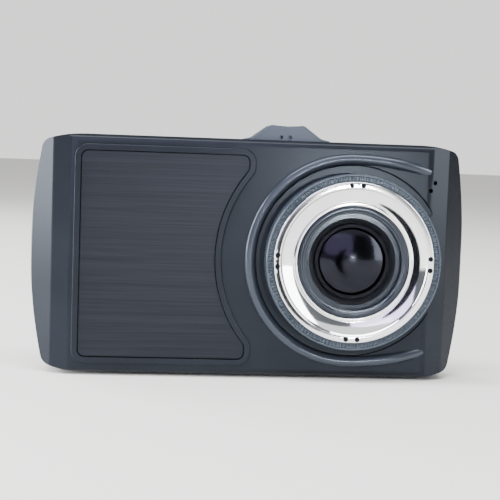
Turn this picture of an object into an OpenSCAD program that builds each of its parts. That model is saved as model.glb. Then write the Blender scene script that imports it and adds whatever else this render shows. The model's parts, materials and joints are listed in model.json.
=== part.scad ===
// Dashboard camera: a slab case with a big ringed lens in front, a screen behind, five keys
// along the bottom edge and a slotted shoe on top that a windscreen bracket holds.
// X runs to the right seen from the front, the lens looks along -Y, and +Z is up.
// The origin is the middle of the shoe's top face, where the bracket holds the camera.

/* [Case] */
// Width of the case across its widest line
body_w = 100; // [98:0.5:104]
// Height of the case without its shoe and keys
body_h = 53.5; // [53:0.5:55]
// Thickness of the moulded walls
wall = 1.8; // [1.6:0.1:2]
// Distance from the middle plane to the front face, and to the rear face
half_depth = 8; // [8:0.1:8.6]

/* [Lens] */
// Distance of the lens axis from the middle of the case
lens_x = 22.6; // [21:0.2:23]
// Outer radius of the ribbed bezel ring
bezel_r = 19.8; // [19.6:0.1:20]
// How far the chrome ring stands in front of the middle plane
lens_reach = 13.3; // [13.2:0.1:15]
// Radius of the raised collar line round the lens
collar_r = 23.1; // [23:0.1:23.4]

/* [Keys] */
// Positions of the keys along the bottom edge: power, menu, up, ok, down
key_xs = [9.7, -8.5, -16.9, -25.3, -33.7];
// How far each key goes in
key_travel = 0.4; // [0.2:0.05:0.45]
// How far each key stands out of the case
key_proud = 0.65; // [0.5:0.05:1]

/* [Shoe] */
// Distance of the shoe from the middle of the case
shoe_x = 7.5; // [6:0.5:8]
// Height of the shoe above the case
shoe_h = 3.5; // [3.5:0.1:4.5]
// Width of the slot's mouth between its lips
slot_mouth = 4.6; // [4.4:0.1:4.8]
// Width of the slot under its lips
slot_width = 8.4; // [8:0.1:8.6]

/* [Screen] */
// Width of the cover glass
glass_w = 79.6; // [79.2:0.1:79.8]
// Height of the cover glass
glass_h = 47.2; // [46.4:0.2:47.4]

/* [Hidden] */
$fn = 72;
gap = 0.05;           // clearance between parts that only locate each other
cut = 1;              // how far a cutting shape runs past a face
front_y = -half_depth;
rear_y = half_depth;
split_y = 3;          // where the front and rear shells meet
half_w = body_w / 2;
half_h = body_h / 2;
inner_z = half_h - wall;

// outline of the case seen from the front
shoulder_r = 30;
shoulder_angle = 74;
corner_r = 2.6;
side_angle_top = 11;
side_angle_bottom = 13.5;

// how the faces fall away towards the edges: [distance from the middle, depth below the face]
front_side = [[0, 0], [40.3, 0], [45, 1.95], [half_w, 6.5], [half_w, 14]];
front_edge = [[0, 0], [half_h - 1.65, 0], [half_h - 0.55, 0.45], [half_h, 1.6], [half_h, 14]];
rear_side = [[0, 0], [40.3, 0], [44.8, 1.9], [half_w, 5], [half_w, 14]];
rear_edge = [[0, 0], [half_h - 1.4, 0], [half_h - 0.45, 0.4], [half_h, 1.4], [half_h, 14]];

// front plate, set in a raised bead
plate_left = -38.7;
plate_right = -1.1;
plate_half_h = 23.2;
plate_corner = 1.6;
plate_arc_r = 30.9;
plate_recess = 0.8;
bead_w = 1.45;
bead_h = 0.5;

// collar line round the lens
collar_bead_r = 1.25;
arm_r = 63.6;
arm_angle = 16.4;

// lens stack: heights are distances in front of the middle plane
ring_seat_h = 7.6;
groove_r = 21.9;
shell_hole_r = 19;
hub_r = 20.3;
hub_h = 5.2;
rim_r = 12.6;
rim_bore_r = 9.9;
glass_dome_r = 43.1;
glass_vertex_h = 12.8;
glass_seat_h = 10.2;
cover_r = 10.9;
barrel_r = 5.9;
head_r = 8.6;

// circuit board
board_y = 1.6;
board_t = 1;
board_left = -46;
board_right = 34.6;
board_top = 22;
board_bottom = -23;
board_hole_r = 0.9;
board_posts = [[-39.2, -14], [-39.2, 16.5], [-2.5, 17], [1.5, -17]];
post_r = 2;
pilot_r = 0.75;
lens_screw_dx = 9.5;

// keys and their switches
key_y = 0.75;
key_l = 5;
key_t = 2.4;
key_flange_l = 6.4;
key_flange_t = 3.3;
key_flange_z = 0.8;
key_slack = 0.15;
switch_w = 4.6;
switch_t = 1.7;
switch_bottom = -23.2;
switch_h = 3.5;
plunger_w = 1.6;
plunger_t = 0.9;
plunger_bottom = -23.7;
plunger_l = 1.4;

// connectors
usb_x = -18;
usb_w = 7.7;
usb_t = 3.9;
av_x = -30;
av_y = -0.9;
av_bore_r = 1.3;
av_bore_l = 11.5;
av_top = 26.5;
card_z = 6.1;
reset_z = -6.8;

// case screws, which go in from the top and bottom edges
screw_x = 41;
screw_seat_z = 25.55;
screw_head_r = 1.5;
screw_r = 0.85;
tab_w = 6;

// shoe
shoe_top_w = 9.2;
shoe_base_w = 19.6;
shoe_front = -4.6;
shoe_back = 5.6;
stem_half_w = 5.6;
stem_front = -4.1;
stem_back = 5.1;
shoe_plate_half_w = 7.5;
slot_front = -3.4;
slot_back = 4.4;
slot_neck_end = 0.8;
lip_t = 1.6;
slot_floor_z = half_h - 1.15;

// screen stack
lcd_w = 81;
lcd_h = 48.4;
window_w = 77.8;
window_h = 44.8;
ledge_y = 5.9;
tape_y = 6.7;

// ---------------------------------------------------------------- helpers

// Points of an arc from angle a0 to a1, leaving out the first point where skip is 1
function arc(c, r, a0, a1, n, skip = 0) =
    [for (i = [skip:n]) let (a = a0 + (a1 - a0) * i / n) c + r * [cos(a), sin(a)]];

function reversed(pts) = [for (i = [len(pts) - 1:-1:0]) pts[i]];

// One quarter of the case outline, from the side to the top edge, inset by t
function quarter(side_angle, t) =
    let (
        s = shoulder_angle,
        fall = shoulder_r * (1 - sin(s)) + corner_r * (sin(s) - sin(side_angle)),
        side_r = (half_h - fall) / sin(side_angle),
        side_c = [half_w - side_r, 0],
        corner_c = side_c + (side_r - corner_r) * [cos(side_angle), sin(side_angle)],
        shoulder_c = corner_c + (corner_r - shoulder_r) * [cos(s), sin(s)]
    )
    concat(
        arc(side_c, side_r - t, 0, side_angle, 5),
        arc(corner_c, corner_r - t, side_angle, s, 6, 1),
        arc(shoulder_c, shoulder_r - t, s, 90, 4, 1));

function flip_x(pts) = [for (p = pts) [-p[0], p[1]]];
function flip_y(pts) = [for (p = pts) [p[0], -p[1]]];
function tail(pts) = [for (i = [1:len(pts) - 1]) pts[i]];

// Outline of the case in X and Z, inset by t
function outline(t) =
    let (top = quarter(side_angle_top, t), bottom = quarter(side_angle_bottom, t))
    concat(
        top,
        reversed(tail(flip_x(top))),
        flip_x(flip_y(bottom)),
        reversed(tail(flip_y(bottom))));

// A point moved to the inner side of the line from p to q
function inward(at, p, q, t) = at + t * [-(q[1] - p[1]), q[0] - p[0]] / norm(q - p);

// Where the line through p and q meets the line through r and s
function crossing(p, q, r, s) =
    let (d = q - p, e = s - r, k = d[0] * e[1] - d[1] * e[0])
    p + d * ((r - p)[0] * e[1] - (r - p)[1] * e[0]) / k;

// An open chain of points offset to its inner side by t
function chain_inset(pts, t) =
    let (last = len(pts) - 1)
    [for (i = [0:last])
        i == 0 ? inward(pts[0], pts[0], pts[1], t)
        : i == last ? inward(pts[last], pts[last - 1], pts[last], t)
        : crossing(
            inward(pts[i - 1], pts[i - 1], pts[i], t), inward(pts[i], pts[i - 1], pts[i], t),
            inward(pts[i], pts[i], pts[i + 1], t), inward(pts[i + 1], pts[i], pts[i + 1], t))];

// A face profile closed on both sides: distance from the middle, depth below the face
function face_profile(chain, t) =
    let (half = chain_inset(chain, t)) concat(half, reversed(flip_x(tail(half))));

// Rounded rectangle about its middle
function rounded_rect(w, h, r) =
    concat(
        arc([w / 2 - r, h / 2 - r], r, 0, 90, 6),
        arc([-w / 2 + r, h / 2 - r], r, 90, 180, 6),
        arc([-w / 2 + r, -h / 2 + r], r, 180, 270, 6),
        arc([w / 2 - r, -h / 2 + r], r, 270, 360, 6));

// Puts a shape made about the middle of the case where the camera's own frame has it
module place() {
    translate([-shoe_x, 0, -half_h - shoe_h]) children();
}

// Extrudes an X-Z outline between two depths
module slab(y0, y1) {
    translate([0, y1, 0]) rotate([90, 0, 0]) linear_extrude(y1 - y0) children();
}

// A box from its low corner to its high corner
module block(low, high) {
    translate(low) cube(high - low);
}

// A cylinder along Y at [x, z]
module rod_y(at, r, y0, y1) {
    translate([at[0], y1, at[1]]) rotate([90, 0, 0]) cylinder(r = r, h = y1 - y0);
}

// A cylinder along Z at [x, y]
module rod_z(at, r, z0, z1) {
    translate([at[0], at[1], z0]) cylinder(r = r, h = z1 - z0);
}

// The frame of the lens: Z runs forward along its axis from the middle plane
module lens_frame() {
    translate([lens_x, 0, 0]) rotate([90, 0, 0]) children();
}

// A turned ring in the lens frame, from [radius, height] points
module turned(profile) {
    lens_frame() rotate_extrude() polygon(profile);
}

// A picture-frame shape
module frame_2d(outer, inner, r) {
    difference() {
        polygon(rounded_rect(outer[0], outer[1], r));
        square(inner, center = true);
    }
}

// The solid case between two depths, its walls inset by t
module case_solid(side, edge, face, dir, t, y0, y1) {
    side_pts = [for (p = face_profile(side, t)) [p[0], face + dir * p[1]]];
    edge_pts = [for (p = face_profile(edge, t)) [face + dir * p[1], p[0]]];
    intersection() {
        slab(y0, y1) polygon(outline(t));
        translate([0, 0, -body_h]) linear_extrude(2 * body_h) polygon(side_pts);
        rotate([90, 0, 90]) translate([0, 0, -body_w]) linear_extrude(2 * body_w) polygon(edge_pts);
    }
}

// ---------------------------------------------------------------- case

// Outline of the front plate, grown by g
module plate_shape(g) {
    offset(r = plate_corner + g, $fn = 40) offset(delta = -plate_corner) difference() {
        translate([plate_left, -plate_half_h]) square([plate_right - plate_left, 2 * plate_half_h]);
        translate([lens_x, 0]) circle(r = plate_arc_r, $fn = 120);
    }
}

// The raised line round the lens: a half ring with two arms that run to the right
module collar_line() {
    lens_frame() {
        rotate([0, 0, 90]) rotate_extrude(angle = 180)
            translate([collar_r, half_depth + gap]) circle(r = collar_bead_r);
        for (up = [0, 1]) mirror([0, up, 0])
            translate([0, collar_r - arm_r, 0]) rotate([0, 0, 90 - arm_angle])
                rotate_extrude(angle = arm_angle)
                    translate([arm_r, half_depth + gap]) circle(r = collar_bead_r - 0.04);
    }
}

module key_slot(x) {
    half = key_l / 2 - key_t / 2;
    r = key_t / 2 + key_slack;
    for (side = [-1, 1]) rod_z([x + side * half, key_y], r, -half_h - cut, -inner_z + cut);
    block([x - half, key_y - r, -half_h - cut], [x + half, key_y + r, -inner_z + cut]);
}

module speaker_grille() {
    for (i = [0:5], j = [0:1]) rod_z([27 + i * 1.7, -3.2 + j * 2], 0.5, -half_h - cut, -inner_z + cut);
}

module case_screw_hole() {
    for (x = [-screw_x, screw_x], up = [0, 1]) mirror([0, 0, up]) {
        rod_z([x, 0], 1, inner_z - cut, half_h + cut);
        rod_z([x, 0], screw_head_r + 0.15, screw_seat_z, half_h + cut);
    }
}

module shoe_notch() {
    block([shoe_x - stem_half_w - 0.15, stem_front - 0.15, inner_z - cut],
        [shoe_x + stem_half_w + 0.15, stem_back + 0.15, half_h + cut]);
}

module front_shell() {
    color([0.075, 0.08, 0.095]) difference() {
        union() {
            difference() {
                union() {
                    case_solid(front_side, front_edge, front_y, 1, 0, front_y, split_y);
                    slab(front_y - bead_h, front_y + bead_h) plate_shape(bead_w);
                }
                case_solid(front_side, front_edge, front_y, 1, wall, front_y + wall, split_y + cut);
                slab(front_y - cut, front_y + plate_recess) plate_shape(gap);
                lens_frame() translate([0, 0, ring_seat_h]) cylinder(r = groove_r, h = 2);
            }
            collar_line();
            lens_frame() translate([0, 0, hub_h]) cylinder(r = hub_r, h = 2);
            for (p = board_posts) rod_y(p, post_r, front_y + plate_recess + 0.4, board_y);
        }
        lens_frame() cylinder(r = shell_hole_r, h = 2 * half_depth);
        for (p = board_posts) rod_y(p, pilot_r, -3, board_y + cut);
        for (x = key_xs) key_slot(x);
        speaker_grille();
        case_screw_hole();
        shoe_notch();
        block([usb_x - 4.4, -2.8, inner_z - cut], [usb_x + 4.4, 2.1, half_h + cut]);
        rod_z([av_x, av_y], 2.7, inner_z - cut, half_h + cut);
        block([-half_w - cut, -0.1, card_z - 6.1], [-half_w + 4, 1.7, card_z + 6.1]);
        translate([-half_w - cut, key_y, reset_z]) rotate([0, 90, 0]) cylinder(r = 0.6, h = 5);
        for (p = [[41.5, 18.3], [40.5, 16.5]]) rod_y(p, 0.45, front_y - cut, front_y + 5);
    }
}

// A tongue of the rear shell that reaches forward under the front shell's wall
module screw_tab() {
    difference() {
        intersection() {
            slab(-2.2, split_y) polygon(outline(wall + 0.1));
            block([screw_x - tab_w / 2, -3, inner_z - 2.75], [screw_x + tab_w / 2, 4, inner_z]);
        }
        rod_z([screw_x, 0], screw_r + gap, inner_z - 4, inner_z + cut);
    }
}

module rear_shell() {
    color([0.07, 0.073, 0.085]) {
        difference() {
            case_solid(rear_side, rear_edge, rear_y, -1, 0, split_y, rear_y);
            slab(tape_y, rear_y + cut) polygon(rounded_rect(glass_w + 0.3, glass_h + 0.3, 2.1));
            slab(split_y - cut, rear_y) square([window_w, window_h], center = true);
            slab(split_y - cut, ledge_y) square([lcd_w + 0.8, lcd_h + 0.8], center = true);
            shoe_notch();
            for (s = [-1, 1]) translate([s * 43.9 - 1.3, split_y - cut, -19]) cube([2.6, 2.4, 38]);
            rod_y([-45, -9.7], 0.95, split_y, rear_y);
        }
        for (side = [0, 1], up = [0, 1]) mirror([side, 0, 0]) mirror([0, 0, up]) screw_tab();
    }
}

module front_plate() {
    color([0.16, 0.165, 0.18])
        slab(front_y + gap, front_y + plate_recess) plate_shape(0);
}

// ---------------------------------------------------------------- shoe

// Right half of the shoe seen from the front, from its middle to its foot, above the case
function shoe_half() =
    concat(
        [[0, shoe_h - 0.25], [2.2, shoe_h - 0.12], [3.4, shoe_h]],
        arc([shoe_top_w / 2 - 0.5, shoe_h - 1.2], 1.2, 85, 38, 4),
        arc([shoe_base_w / 2 - 0.3, 3.8], 3.6, 222, 266, 5),
        [[shoe_base_w / 2, 0.15], [shoe_base_w / 2, 0]]);

module mount_shoe() {
    half = shoe_half();
    color([0.10, 0.105, 0.125]) difference() {
        union() {
            translate([shoe_x, 0, half_h]) slab(shoe_front, shoe_back)
                polygon(concat(half, reversed(flip_x(tail(half)))));
            block([shoe_x - stem_half_w, stem_front, inner_z - gap], [shoe_x + stem_half_w, stem_back, half_h]);
            block([shoe_x - shoe_plate_half_w, -5.2, inner_z - 1.25],
                [shoe_x + shoe_plate_half_w, split_y, inner_z - gap]);
        }
        block([shoe_x - slot_width / 2, slot_front, slot_floor_z],
            [shoe_x + slot_width / 2, slot_back, half_h + shoe_h - lip_t]);
        block([shoe_x - slot_mouth / 2, slot_front, slot_floor_z],
            [shoe_x + slot_mouth / 2, slot_back, half_h + shoe_h + cut]);
        block([shoe_x - slot_width / 2, slot_neck_end, slot_floor_z],
            [shoe_x + slot_width / 2, slot_back, half_h + shoe_h + cut]);
        for (dx = [-1, 1]) rod_y([shoe_x - 0.4 + dx, half_h + 0.75], 0.4, shoe_front - cut, shoe_front + 0.9);
    }
}

// ---------------------------------------------------------------- lens stack

module bezel_ring() {
    color([0.20, 0.215, 0.235]) turned([
        [16, 5.6], [18.9, 5.6], [18.9, ring_seat_h], [bezel_r, ring_seat_h], [bezel_r, lens_reach - 0.9],
        [bezel_r - 0.5, lens_reach - 0.4], [18.15, lens_reach - 0.4], [18.15, 8.6], [17, 8.6],
        [17, 7.15], [16, 7.15]]);
}

module chrome_ring() {
    color([0.86, 0.87, 0.88]) turned([
        [12.7, 8.65], [13.7, 8.65], [13.7, 9.7], [16.1, 11.4], [17.1, 11.4], [17.1, 8.65], [18.1, 8.65],
        [18.1, lens_reach - 0.3], [17.8, lens_reach], [16.95, lens_reach], [16.65, lens_reach - 0.25],
        [14.9, lens_reach - 1.35], [13.4, lens_reach - 1.95], [12.7, lens_reach - 2.1]]);
}

module lens_rim() {
    color([0.09, 0.095, 0.11]) turned([
        [rim_bore_r, 7.2], [16.9, 7.2], [16.9, 8.55], [rim_r, 8.55], [rim_r, 11.7], [rim_r - 0.3, 12],
        [11, 12], [11, glass_seat_h], [rim_bore_r, glass_seat_h]]);
}

module cover_glass() {
    dome_z = glass_vertex_h - glass_dome_r;
    color([0.16, 0.11, 0.24, 0.5]) lens_frame() difference() {
        intersection() {
            translate([0, 0, glass_seat_h]) cylinder(r = cover_r, h = 4);
            translate([0, 0, dome_z]) sphere(r = glass_dome_r);
        }
        translate([0, 0, dome_z]) sphere(r = glass_dome_r - 1.1);
    }
}

module lens_barrel() {
    color([0.05, 0.05, 0.06]) turned([
        [3.6, 0.9], [barrel_r, 0.9], [barrel_r, 5.9], [head_r, 5.9], [head_r, 9.9], [7.7, 9.9],
        [7.7, 8.3], [4.6, 8.3], [4.6, 2.2], [3.6, 2.2]]);
}

// A lens with one flat face and one domed face
module plano_lens(r, back, vertex, sag) {
    dome_r = (r * r + sag * sag) / (2 * sag);
    lens_frame() intersection() {
        translate([0, 0, back]) cylinder(r = r, h = vertex - back + cut);
        translate([0, 0, vertex - dome_r]) sphere(r = dome_r);
    }
}

module front_element() {
    color([0.2, 0.15, 0.3, 0.5]) plano_lens(7.65, 8.35, 11, 1.8);
}

module rear_element() {
    color([0.2, 0.25, 0.3, 0.5]) plano_lens(4.55, 2.25, 4.2, 1);
}

module lens_holder() {
    color([0.06, 0.06, 0.065]) lens_frame() difference() {
        union() {
            translate([-8, -8, -board_y]) cube([16, 16, 2]);
            translate([-11.5, -2.5, -board_y]) cube([23, 5, 2]);
            cylinder(r = 7.6, h = 5.6);
        }
        translate([-4.5, -4.5, -board_y - cut]) cube([9, 9, 1.6 + cut]);
        translate([-3, -3, -cut]) cube([6, 6, 3]);
        translate([0, 0, 0.4]) cylinder(r = 6, h = 8);
        for (s = [-1, 1]) translate([s * lens_screw_dx, 0, -board_y - cut]) cylinder(r = pilot_r, h = 1.8 + cut);
    }
}

module ir_filter() {
    color([0.75, 0.45, 0.5, 0.5]) lens_frame() translate([-3.8, -3.8, 0.4]) cube([7.6, 7.6, 0.3]);
}

module image_sensor() {
    color([0.12, 0.14, 0.16]) lens_frame() translate([-4, -4, -board_y]) cube([8, 8, 0.9]);
}

// ---------------------------------------------------------------- circuit board

module main_board() {
    back = board_y + board_t;
    color([0.05, 0.24, 0.13]) difference() {
        union() {
            block([-37.5, board_y, board_bottom], [board_right, back, board_top]);
            block([board_left, board_y, -18], [-37.5, back, 19]);
        }
        for (p = board_posts) rod_y(p, board_hole_r, board_y - cut, back + cut);
        for (s = [-1, 1]) rod_y([lens_x + s * lens_screw_dx, 0], board_hole_r, board_y - cut, back + cut);
        block([-20.6, board_y - cut, -17], [-5.4, back + cut, -15.5]);
    }
}

// A chip on the front of the board, standing h proud
module chip(x0, z0, x1, z1, h) {
    block([x0, board_y - h, z0], [x1, board_y, z1]);
}

module processor() {
    color([0.1, 0.1, 0.11]) chip(-24, -6, -12, 6, 1.2);
}

module memory_chip() {
    color([0.1, 0.1, 0.11]) chip(-32, -9, -25.2, -2, 1);
}

module motion_sensor() {
    color([0.13, 0.13, 0.14]) chip(-6, 2, -3, 5, 1);
}

module power_coils() {
    color([0.28, 0.28, 0.3]) for (x = [-11, -5.4]) chip(x, 8, x + 4, 12, 1.8);
}

module clock_crystal() {
    color([0.75, 0.76, 0.78]) chip(-10.6, -4.2, -7.4, -1.7, 0.7);
}

module key_switches() {
    color([0.75, 0.75, 0.77]) for (x = key_xs) difference() {
        block([x - switch_w / 2, board_y - switch_t, switch_bottom],
            [x + switch_w / 2, board_y, switch_bottom + switch_h]);
        block([x - plunger_w / 2 - 0.1, key_y - plunger_t / 2 - 0.1, switch_bottom - cut],
            [x + plunger_w / 2 + 0.1, key_y + plunger_t / 2 + 0.1, switch_bottom + 1.5]);
    }
}

module reset_switch() {
    color([0.75, 0.75, 0.77]) difference() {
        block([-46.2, board_y - switch_t, reset_z - 2], [-43.2, board_y, reset_z + 2]);
        block([-46.2 - cut, key_y - plunger_t / 2 - 0.1, reset_z - 0.8],
            [-44.8, key_y + plunger_t / 2 + 0.1, reset_z + 0.8]);
    }
}

module usb_socket() {
    color([0.78, 0.78, 0.8]) difference() {
        block([usb_x - usb_w / 2, board_y - usb_t, 15.9], [usb_x + usb_w / 2, board_y, 24.9]);
        block([usb_x - usb_w / 2 + 0.35, board_y - usb_t + 0.35, 15],
            [usb_x + usb_w / 2 - 0.35, board_y - 0.35, 26]);
    }
}

module usb_tongue() {
    color([0.05, 0.05, 0.055]) {
        block([usb_x - 3.45, board_y - usb_t + 0.4, 16.1], [usb_x + 3.45, board_y - 0.4, 18]);
        block([usb_x - 2.2, -0.1, 18], [usb_x + 2.2, 0.8, 24]);
    }
}

module av_jack() {
    color([0.05, 0.05, 0.055]) difference() {
        union() {
            block([av_x - 3, board_y - 5, 13.7], [av_x + 3, board_y, 24.2]);
            rod_z([av_x, av_y], 2.5, 24.2, av_top);
        }
        rod_z([av_x, av_y], av_bore_r, av_top - av_bore_l, av_top + cut);
    }
}

module card_socket() {
    color([0.78, 0.78, 0.8]) difference() {
        block([-47.4, 0, card_z - 7.1], [-33, board_y, card_z + 7.1]);
        block([-48, 0.3, card_z - 5.6], [-34.5, 1.3, card_z + 5.6]);
    }
}

// ---------------------------------------------------------------- power and sound

module battery() {
    color([0.72, 0.74, 0.77]) translate([-21, 0, 0]) slab(-6, -2.2) polygon(rounded_rect(30, 24, 1.5));
}

module battery_pad() {
    color([0.1, 0.1, 0.1]) block([-34, front_y + wall, -10], [-8, -6, 10]);
}

// One wire from the battery's end to its connector
module lead(z) {
    stops = [[-6, -4.1, z], [-4.6, -4.1, z], [-3.2, -0.8, z], [-2, -0.8, z]];
    for (i = [0:2]) hull($fn = 10) {
        translate(stops[i]) rotate([0, 90, 0]) cylinder(r = 0.45, h = 0.01, $fn = 10);
        translate(stops[i + 1] - [0.01, 0, 0]) rotate([0, 90, 0]) cylinder(r = 0.45, h = 0.01, $fn = 10);
    }
}

module battery_leads() {
    color([0.6, 0.08, 0.07]) for (z = [-2.2, 0.2]) lead(z);
}

module battery_connector() {
    color([0.88, 0.87, 0.82]) chip(-2, -4, 2, 2, 3.2);
}

module speaker() {
    color([0.2, 0.2, 0.21]) block([25, -5.6, -24.3], [37.5, 1.3, -21.3]);
}

module speaker_seal() {
    color([0.12, 0.12, 0.12]) difference() {
        block([25, -5.6, -inner_z], [37.5, 1.3, -24.3]);
        block([26, -4.6, -inner_z - cut], [36.5, 0.3, -24.3 + cut]);
    }
}

module microphone() {
    color([0.7, 0.7, 0.72]) rod_y([41, 17.4], 2, -3.5, -1.9);
}

module microphone_boot() {
    color([0.08, 0.08, 0.08]) difference() {
        rod_y([41, 17.4], 2.8, -4.1, -1.9);
        rod_y([41, 17.4], 2 + gap, -3.5, -1.9 + cut);
        rod_y([41, 17.4], 0.9, -5, -3);
    }
}

// ---------------------------------------------------------------- screen stack

module screen_glass() {
    color([0.02, 0.02, 0.025]) slab(tape_y + 0.2, rear_y - 0.1) polygon(rounded_rect(glass_w, glass_h, 2));
}

module screen_tape() {
    color([0.05, 0.05, 0.05]) slab(tape_y, tape_y + 0.2) frame_2d([glass_w - 0.2, glass_h - 0.6], [78, 45], 1.8);
}

module lcd_cushion() {
    color([0.13, 0.13, 0.13]) slab(5.7, ledge_y) frame_2d([lcd_w - 0.2, lcd_h - 0.2], [78, 45], 0.5);
}

module lcd_panel() {
    color([0.1, 0.12, 0.15]) slab(3.5, 5.7) square([lcd_w, lcd_h], center = true);
}

module lcd_tray() {
    color([0.7, 0.71, 0.72]) slab(3.3, 3.5) square([lcd_w, lcd_h], center = true);
}

// The flat ribbon that folds from behind the display through the board to its connector
module display_ribbon() {
    color([0.75, 0.45, 0.1]) {
        block([-20, 3.1, -16.2], [-6, 3.25, -8]);
        block([-20, 0.95, -16.35], [-6, 3.25, -16.2]);
        block([-20, 0.95, -16.2], [-6, 1.1, -13]);
    }
}

module ribbon_connector() {
    color([0.85, 0.83, 0.78]) difference() {
        chip(-21, -14.6, -5, -11.4, 1.05);
        block([-20.2, 0.85, -15], [-5.8, 1.2, -12.8]);
    }
}

module status_led() {
    color([0.9, 0.9, 0.85]) block([-45.8, board_y + board_t, -10.1], [-44.2, board_y + board_t + 0.6, -9.3]);
}

module status_light() {
    color([0.8, 0.85, 0.9, 0.6]) rod_y([-45, -9.7], 0.9, 3.3, 5.95);
}

// ---------------------------------------------------------------- fasteners

module case_screws() {
    color([0.12, 0.12, 0.13]) for (x = [-screw_x, screw_x], up = [0, 1]) mirror([0, 0, up]) difference() {
        union() {
            rod_z([x, 0], screw_r, inner_z - 3.4, screw_seat_z);
            rod_z([x, 0], screw_head_r, screw_seat_z, screw_seat_z + 0.8);
        }
        for (turn = [0, 90]) translate([x, 0, screw_seat_z + 0.6]) rotate([0, 0, turn])
            cube([1.9, 0.36, 0.6], center = true);
    }
}

// Screws along Y with their heads behind the board
module rear_screw(at, l) {
    back = board_y + board_t;
    rod_y(at, 0.7, back - l, back);
    rod_y(at, 1.4, back, back + 0.6);
}

module board_screws() {
    color([0.7, 0.7, 0.68]) for (p = board_posts) rear_screw(p, 5);
}

module lens_screws() {
    color([0.7, 0.7, 0.68]) for (s = [-1, 1]) rear_screw([lens_x + s * lens_screw_dx, 0], 2.6);
}

// ---------------------------------------------------------------- keys

// A key cap with its flange and stem
module key(x) {
    half = key_l / 2 - key_t / 2;
    tip = -half_h - key_proud;
    flange_z = -inner_z + gap;
    color([0.11, 0.115, 0.13]) {
        difference() {
            union() {
                for (side = [-1, 1]) rod_z([x + side * half, key_y], key_t / 2, tip, flange_z);
                block([x - half, key_y - key_t / 2, tip], [x + half, key_y + key_t / 2, flange_z]);
            }
            translate([x, key_y - key_t, tip - 2.6]) rotate([-90, 0, 0]) cylinder(r = 2.9, h = 2 * key_t);
        }
        block([x - key_flange_l / 2, key_y - key_flange_t / 2, flange_z],
            [x + key_flange_l / 2, key_y + key_flange_t / 2, flange_z + key_flange_z]);
        block([x - 0.8, key_y - 0.5, flange_z + key_flange_z], [x + 0.8, key_y + 0.5, plunger_bottom]);
    }
}

// The plunger of a key's switch
module plunger(x) {
    color([0.05, 0.05, 0.05]) block([x - plunger_w / 2, key_y - plunger_t / 2, plunger_bottom],
        [x + plunger_w / 2, key_y + plunger_t / 2, plunger_bottom + plunger_l]);
}

module power_key() { key(key_xs[0]); }
module menu_key() { key(key_xs[1]); }
module up_key() { key(key_xs[2]); }
module ok_key() { key(key_xs[3]); }
module down_key() { key(key_xs[4]); }
module power_plunger() { plunger(key_xs[0]); }
module menu_plunger() { plunger(key_xs[1]); }
module up_plunger() { plunger(key_xs[2]); }
module ok_plunger() { plunger(key_xs[3]); }
module down_plunger() { plunger(key_xs[4]); }

module reset_plunger() {
    color([0.05, 0.05, 0.05]) block([-46.9, key_y - plunger_t / 2, reset_z - 0.7],
        [-45.4, key_y + plunger_t / 2, reset_z + 0.7]);
}

// ---------------------------------------------------------------- assembly

place() {
    front_shell();
    rear_shell();
    front_plate();
    mount_shoe();
    bezel_ring();
    chrome_ring();
    lens_rim();
    cover_glass();
    lens_barrel();
    front_element();
    rear_element();
    lens_holder();
    ir_filter();
    image_sensor();
    main_board();
    processor();
    memory_chip();
    motion_sensor();
    power_coils();
    clock_crystal();
    key_switches();
    reset_switch();
    usb_socket();
    usb_tongue();
    av_jack();
    card_socket();
    battery();
    battery_pad();
    battery_leads();
    battery_connector();
    speaker();
    speaker_seal();
    microphone();
    microphone_boot();
    screen_glass();
    screen_tape();
    lcd_cushion();
    lcd_panel();
    lcd_tray();
    display_ribbon();
    ribbon_connector();
    status_led();
    status_light();
    case_screws();
    board_screws();
    lens_screws();
    power_key();
    menu_key();
    up_key();
    ok_key();
    down_key();
    power_plunger();
    menu_plunger();
    up_plunger();
    ok_plunger();
    down_plunger();
    reset_plunger();
}
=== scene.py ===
"""Looks of a dashboard camera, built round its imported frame.

Sizes are in millimetres about the middle of the case: X to the right seen from the lens side,
Y backwards and Z up. A finished mesh is put into the frame, in metres, as its last step.
"""

import json
import logging
import math
from dataclasses import dataclass, field
from enum import Enum
from typing import Iterator, Optional, Sequence, Union

import bmesh
import bpy
from mathutils import Matrix, Vector

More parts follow.
